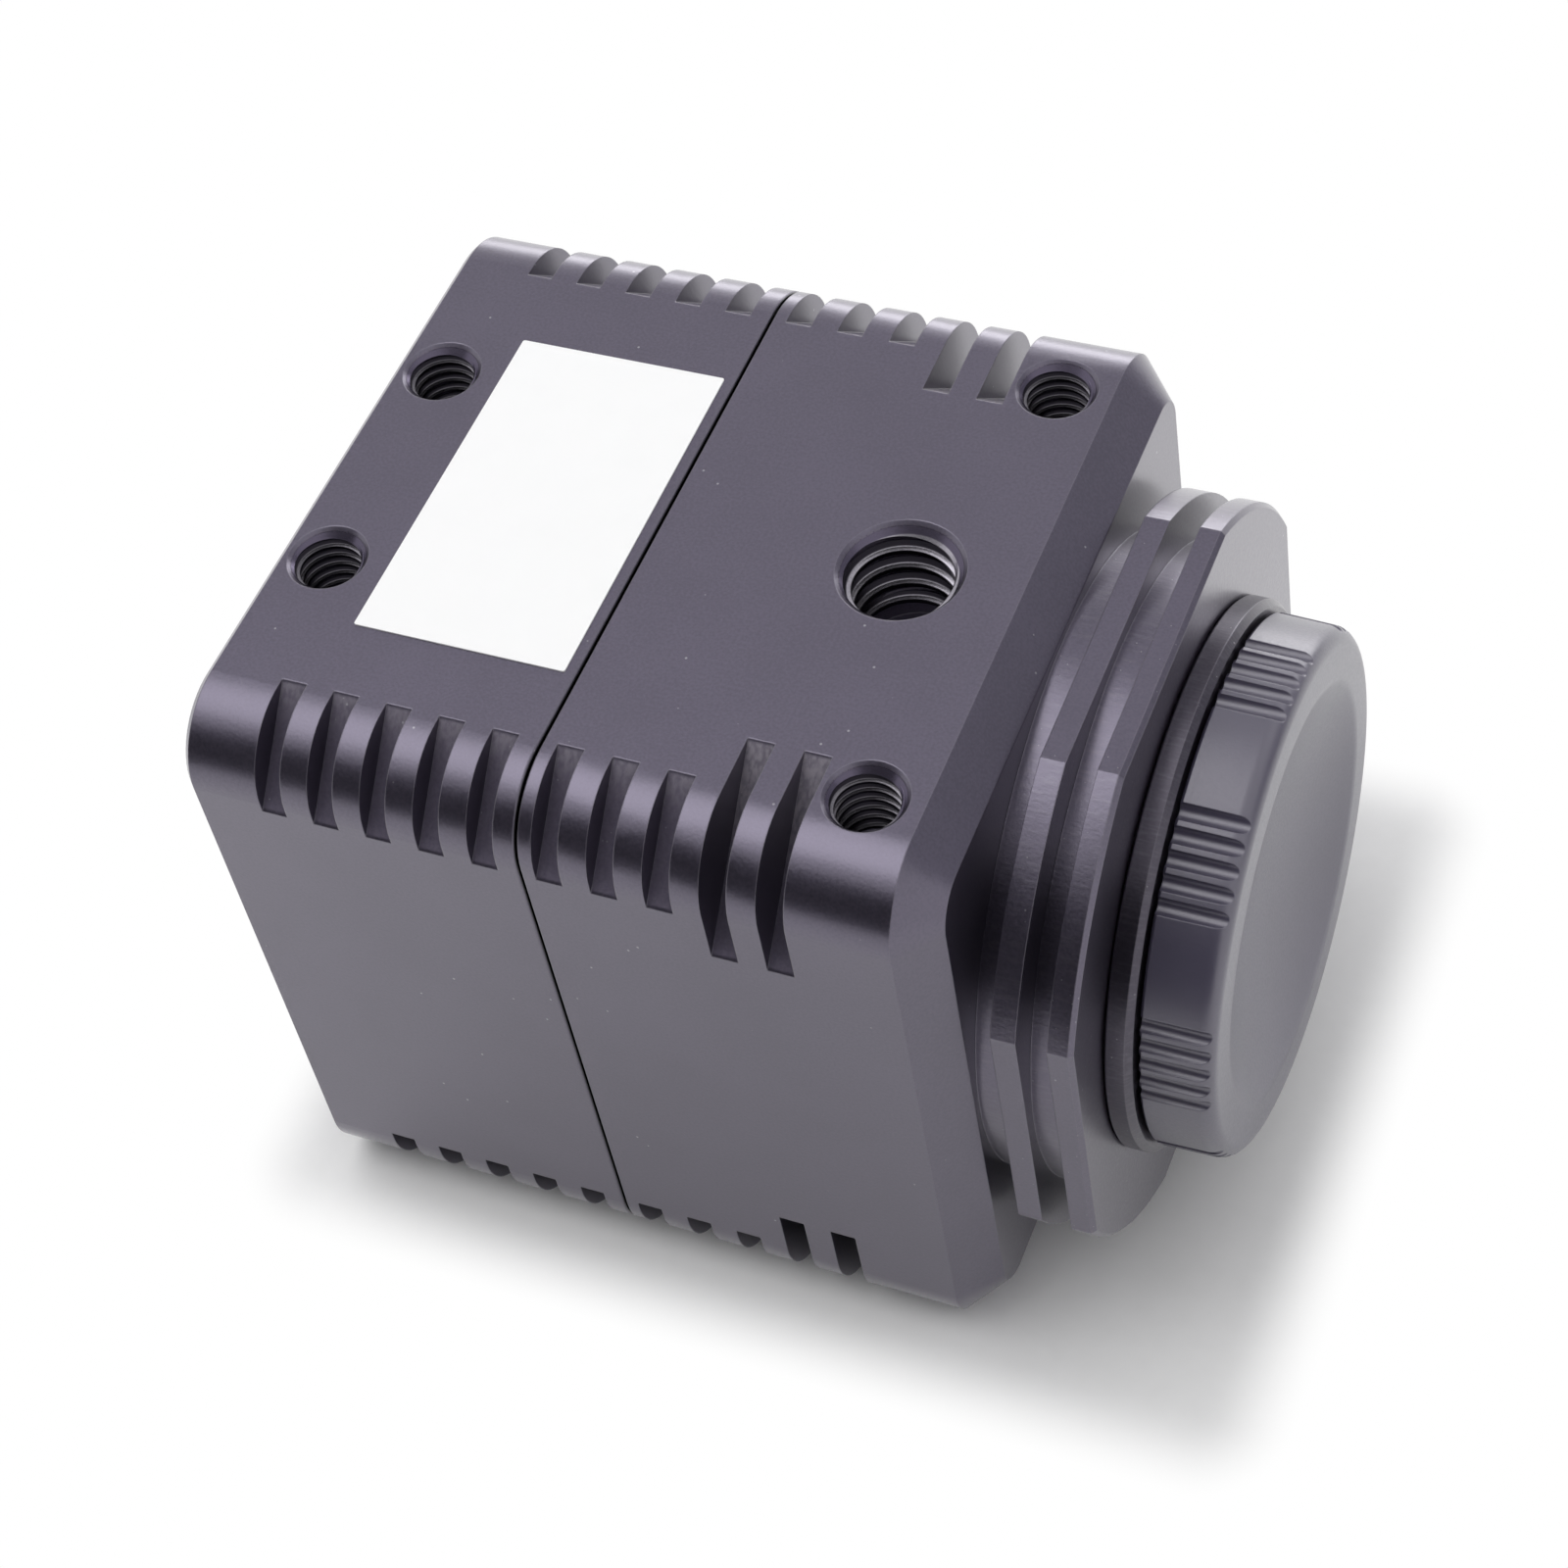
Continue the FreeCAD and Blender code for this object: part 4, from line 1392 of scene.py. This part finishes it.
    def _thread(self) -> Thread:
        """The boss's thread, half a pitch away from the ring's.

        Returns:
            The thread, not yet built.
        """
        mount = LensMount()
        start = mount.flange - mount.depth + self.thread_lead * mount.pitch - self.rear
        return Thread("cap_thread", (self.rear, 0.0, AXIS_HEIGHT), Direction.FORWARD,
                      self.boss_radius, self.thread_crest, mount.pitch, start,
                      self.thread_turns, body=Body.CAP, slot=Slot.CAP, steps=mount.steps)


@dataclass
class RearPanel:
    """The lock screw holes' threads beside the data receptacle."""

    face: float = -20.35
    hole_height: float = 27.0
    hole_spacing: float = 18.5
    hole_radius: float = 1.0
    crest_radius: float = 0.84
    pitch: float = 0.4
    depth: float = 2.2
    turns: int = 5
    steps: int = 48

    def build(self, finishes: Finishes) -> None:
        """Builds the two threads.

        Args:
            finishes: the shared materials.
        """
        for name, side in (("near", -1.0), ("far", 1.0)):
            centre = (self.face, side * self.hole_spacing / 2, self.hole_height)
            Thread(f"lock_{name}_thread", centre, Direction.BACKWARD, self.hole_radius,
                   self.crest_radius, self.pitch, -self.depth, self.turns,
                   steps=self.steps).build(finishes)


@dataclass
class Label:
    """The bare film on the rear shell, with its corners a little rounded."""

    corner_radius: float = 0.12
    corner_steps: int = 5

    def _corner_edges(self, film: bpy.types.Object, height: float) -> None:
        """Selects the film's upright edges.

        Args:
            film: the film as a plain block.
            height: the block's height in metres.
        """
        make_active(film)
        bpy.ops.object.mode_set(mode="EDIT")
        bpy.ops.mesh.select_mode(type="EDGE")
        bpy.ops.mesh.select_all(action="DESELECT")
        bpy.ops.object.mode_set(mode="OBJECT")
        for edge in film.data.edges:
            start, end = (film.data.vertices[index].co for index in edge.vertices)
            edge.select = abs(start.z - end.z) > height / 2

    def build(self, finishes: Finishes) -> None:
        """Builds the film over its CAD solid.

        Args:
            finishes: the shared materials.
        """
        low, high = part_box("label")
        start_fresh()
        bpy.ops.mesh.primitive_cube_add(size=1.0, location=(low + high) / 2)
        film = bpy.context.object
        film.scale = high - low
        settle(film)
        self._corner_edges(film, high.z - low.z)
        bpy.ops.object.mode_set(mode="EDIT")
        bpy.ops.mesh.bevel(offset=self.corner_radius * MM, segments=self.corner_steps)
        bpy.ops.object.mode_set(mode="OBJECT")
        smooth(film)
        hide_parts("label")
        finish_piece(film, "label_film", Body.CAMERA, finishes.of(Slot.FILM))


# Studio

LAMP_AIM = (0.005, 0.0, 0.02)


@dataclass(frozen=True)
class SoftBox:
    """An oblong area lamp, aimed at the camera housing, its place and size in metres."""

    name: str
    place: tuple[float, float, float]
    size: tuple[float, float]
    level: float

    def build(self) -> None:
        """Hangs the lamp; its level is its brightness, where 1 is white."""
        bpy.ops.object.light_add(type="AREA", location=self.place)
        lamp = bpy.context.object
        lamp.name = self.name
        lamp.data.shape = "RECTANGLE"
        lamp.data.size, lamp.data.size_y = self.size
        lamp.data.energy = self.level * math.pi * self.size[0] * self.size[1]
        aim = Vector(LAMP_AIM) - Vector(self.place)
        lamp.rotation_euler = aim.to_track_quat("-Z", "Y").to_euler()


@dataclass(frozen=True)
class Card:
    """A card that shades or tones what the gloss shows, its corners in metres."""

    name: str
    corners: tuple[tuple[float, float, float], ...]
    colour: Colour

    def build(self) -> None:
        """Stands the card up, hidden from the camera."""
        start_fresh()
        bpy.ops.mesh.primitive_plane_add(size=1.0)
        card = bpy.context.object
        card.name = self.name
        for vertex, corner in zip(card.data.vertices, self.corners):
            vertex.co = corner
        sheet = SurfaceSheet(self.name)
        paint(card, sheet.surface({"Base Color": (*self.colour, 1.0), "Roughness": 1.0}))
        card.visible_camera = False


@dataclass
class Floor:
    """A wide pale floor that keeps the shadow and turns white a little way out.

    Its radius is in metres, and its reaches are in millimetres from the housing's footprint.
    """

    radius: float = 3.0
    sides: int = 96
    shadow_reach: float = 5.5
    near_gloss_reach: Band = (12.0, 45.0)
    far_gloss_reach: Band = (5.0, 13.0)
    far_side: Band = (-12.0, 0.0)
    grain_scale: float = 0.8
    dark_tone: Colour = (0.90, 0.90, 0.90)
    light_tone: Colour = (0.94, 0.94, 0.94)

    def _distance(self, sheet: SurfaceSheet) -> Socket:
        """Measures the distance from the camera housing's footprint.

        Args:
            sheet: the floor's node sheet.

        Returns:
            The distance in millimetres.
        """
        low, high = CAD_BOX
        outside = []
        for value, start, end in ((sheet.along, low.x, high.x), (sheet.across, low.y, high.y)):
            offset = sheet.maths("SUBTRACT", value, (start + end) / 2 / MM)
            beyond = sheet.maths("SUBTRACT", sheet.maths("ABSOLUTE", offset),
                                 (end - start) / 2 / MM)
            outside.append(sheet.maths("POWER", sheet.maths("MAXIMUM", beyond, 0.0), 2.0))
        return sheet.maths("SQRT", sheet.total(*outside))

    def build(self) -> None:
        """Lays the floor."""
        start_fresh()
        bpy.ops.mesh.primitive_circle_add(vertices=self.sides, radius=self.radius,
                                          fill_type="NGON")
        floor = bpy.context.object
        floor.name = "floor"
        sheet = SurfaceSheet("floor_paper")
        away = self._distance(sheet)
        path = sheet.add("ShaderNodeLightPath").outputs
        direct = sheet.maths("MAXIMUM", path["Is Camera Ray"], path["Is Transmission Ray"])
        seen = sheet.product(sheet.range(away, 0.0, self.shadow_reach), direct)
        far = sheet.product(sheet.range(away, *self.far_gloss_reach),
                            sheet.range(sheet.across, *self.far_side))
        mirrored = sheet.product(sheet.maths("MAXIMUM", far,
                                             sheet.range(away, *self.near_gloss_reach)),
                                 path["Is Glossy Ray"])
        white = sheet.maths("MAXIMUM", seen, mirrored)
        grain = sheet.mix(sheet.noise(self.grain_scale), self.dark_tone, self.light_tone)
        paper = sheet.add("ShaderNodeBsdfDiffuse", {"Color": grain})
        glow = sheet.add("ShaderNodeEmission", {"Strength": 1.0})
        blend = sheet.add("ShaderNodeMixShader", {0: white, 1: paper.outputs[0],
                                                  2: glow.outputs[0]})
        sheet.links.new(blend.outputs[0], sheet.output.inputs["Surface"])
        paint(floor, sheet.material)


@dataclass
class Studio:
    """Floor, soft light and the photograph's camera.

    The camera's place is in millimetres and its turn in degrees.
    """

    ambient: float = 0.90
    camera_place: tuple[float, float, float] = (67.477, -105.581, 171.873)
    camera_turn: tuple[float, float, float] = (41.18156, 8.12422, 22.22635)
    lens: float = 81.0536
    film_width: float = 36.0
    clip: tuple[float, float] = (0.005, 20.0)
    shift: tuple[float, float] = (0.016715, -0.106963)
    lamps: tuple[SoftBox, ...] = (
        SoftBox("overhead", (-0.21, -0.024, 0.584), (0.50, 0.36), 1.7),
        SoftBox("far_window", (0.0, 0.80, 0.12), (0.90, 0.25), 3.0))
    cards: tuple[Card, ...] = (
        Card("dark_side", ((-0.50, -0.20, 0.001), (0.30, -0.20, 0.001),
                           (-0.70, -0.42, 0.45), (0.45, -0.42, 0.45)), (0.015, 0.015, 0.018)),
        Card("pale_side", ((-0.75, 0.30, 0.34), (0.15, 0.58, 0.34),
                           (-0.50, 0.05, 0.80), (0.05, 0.22, 0.80)), (0.85, 0.85, 0.87)),
        Card("grey_side", ((0.28, 0.02, 0.001), (0.14, 0.30, 0.001),
                           (0.50, 0.05, 0.30), (0.28, 0.52, 0.30)), (0.50, 0.50, 0.53)))

    def _world(self) -> None:
        """Sets a sky that is white when seen and lights the object at a soft level."""
        world = bpy.data.worlds.new("studio")
        world.use_nodes = True
        bpy.context.scene.world = world
        sheet = NodeSheet(world.node_tree)
        level = sheet.add("ShaderNodeMapRange", {"Value": sheet.seen_directly(),
                                                 "To Min": self.ambient})
        sky = sheet.add("ShaderNodeBackground", {"Color": (1.0, 1.0, 1.0, 1.0),
                                                 "Strength": level.outputs["Result"]})
        output = sheet.add("ShaderNodeOutputWorld")
        sheet.links.new(sky.outputs[0], output.inputs["Surface"])

    def _camera(self) -> None:
        """Sets up the photograph's camera."""
        bpy.ops.object.camera_add(
            location=Vector(self.camera_place) * MM,
            rotation=[math.radians(angle) for angle in self.camera_turn])
        camera = bpy.context.object
        camera.data.lens = self.lens
        camera.data.sensor_width = self.film_width
        camera.data.shift_x, camera.data.shift_y = self.shift
        camera.data.clip_start, camera.data.clip_end = self.clip
        bpy.context.scene.camera = camera

    def build(self) -> None:
        """Builds the floor, the lamps, the world and the camera."""
        Floor().build()
        for fitting in (*self.lamps, *self.cards):
            fitting.build()
        self._world()
        self._camera()
        bpy.context.scene.view_settings.view_transform = "Standard"


def main() -> None:
    """Builds the dressed camera and its studio."""
    logging.basicConfig(level=logging.INFO, format="%(message)s")
    finishes = Finishes()
    finishes.dress_nodes()
    for assembly in (MountingHoles(), LensMount(), DustCap(), RearPanel(), Label()):
        assembly.build(finishes)
    Studio().build()


if __name__ == "__main__":
    main()
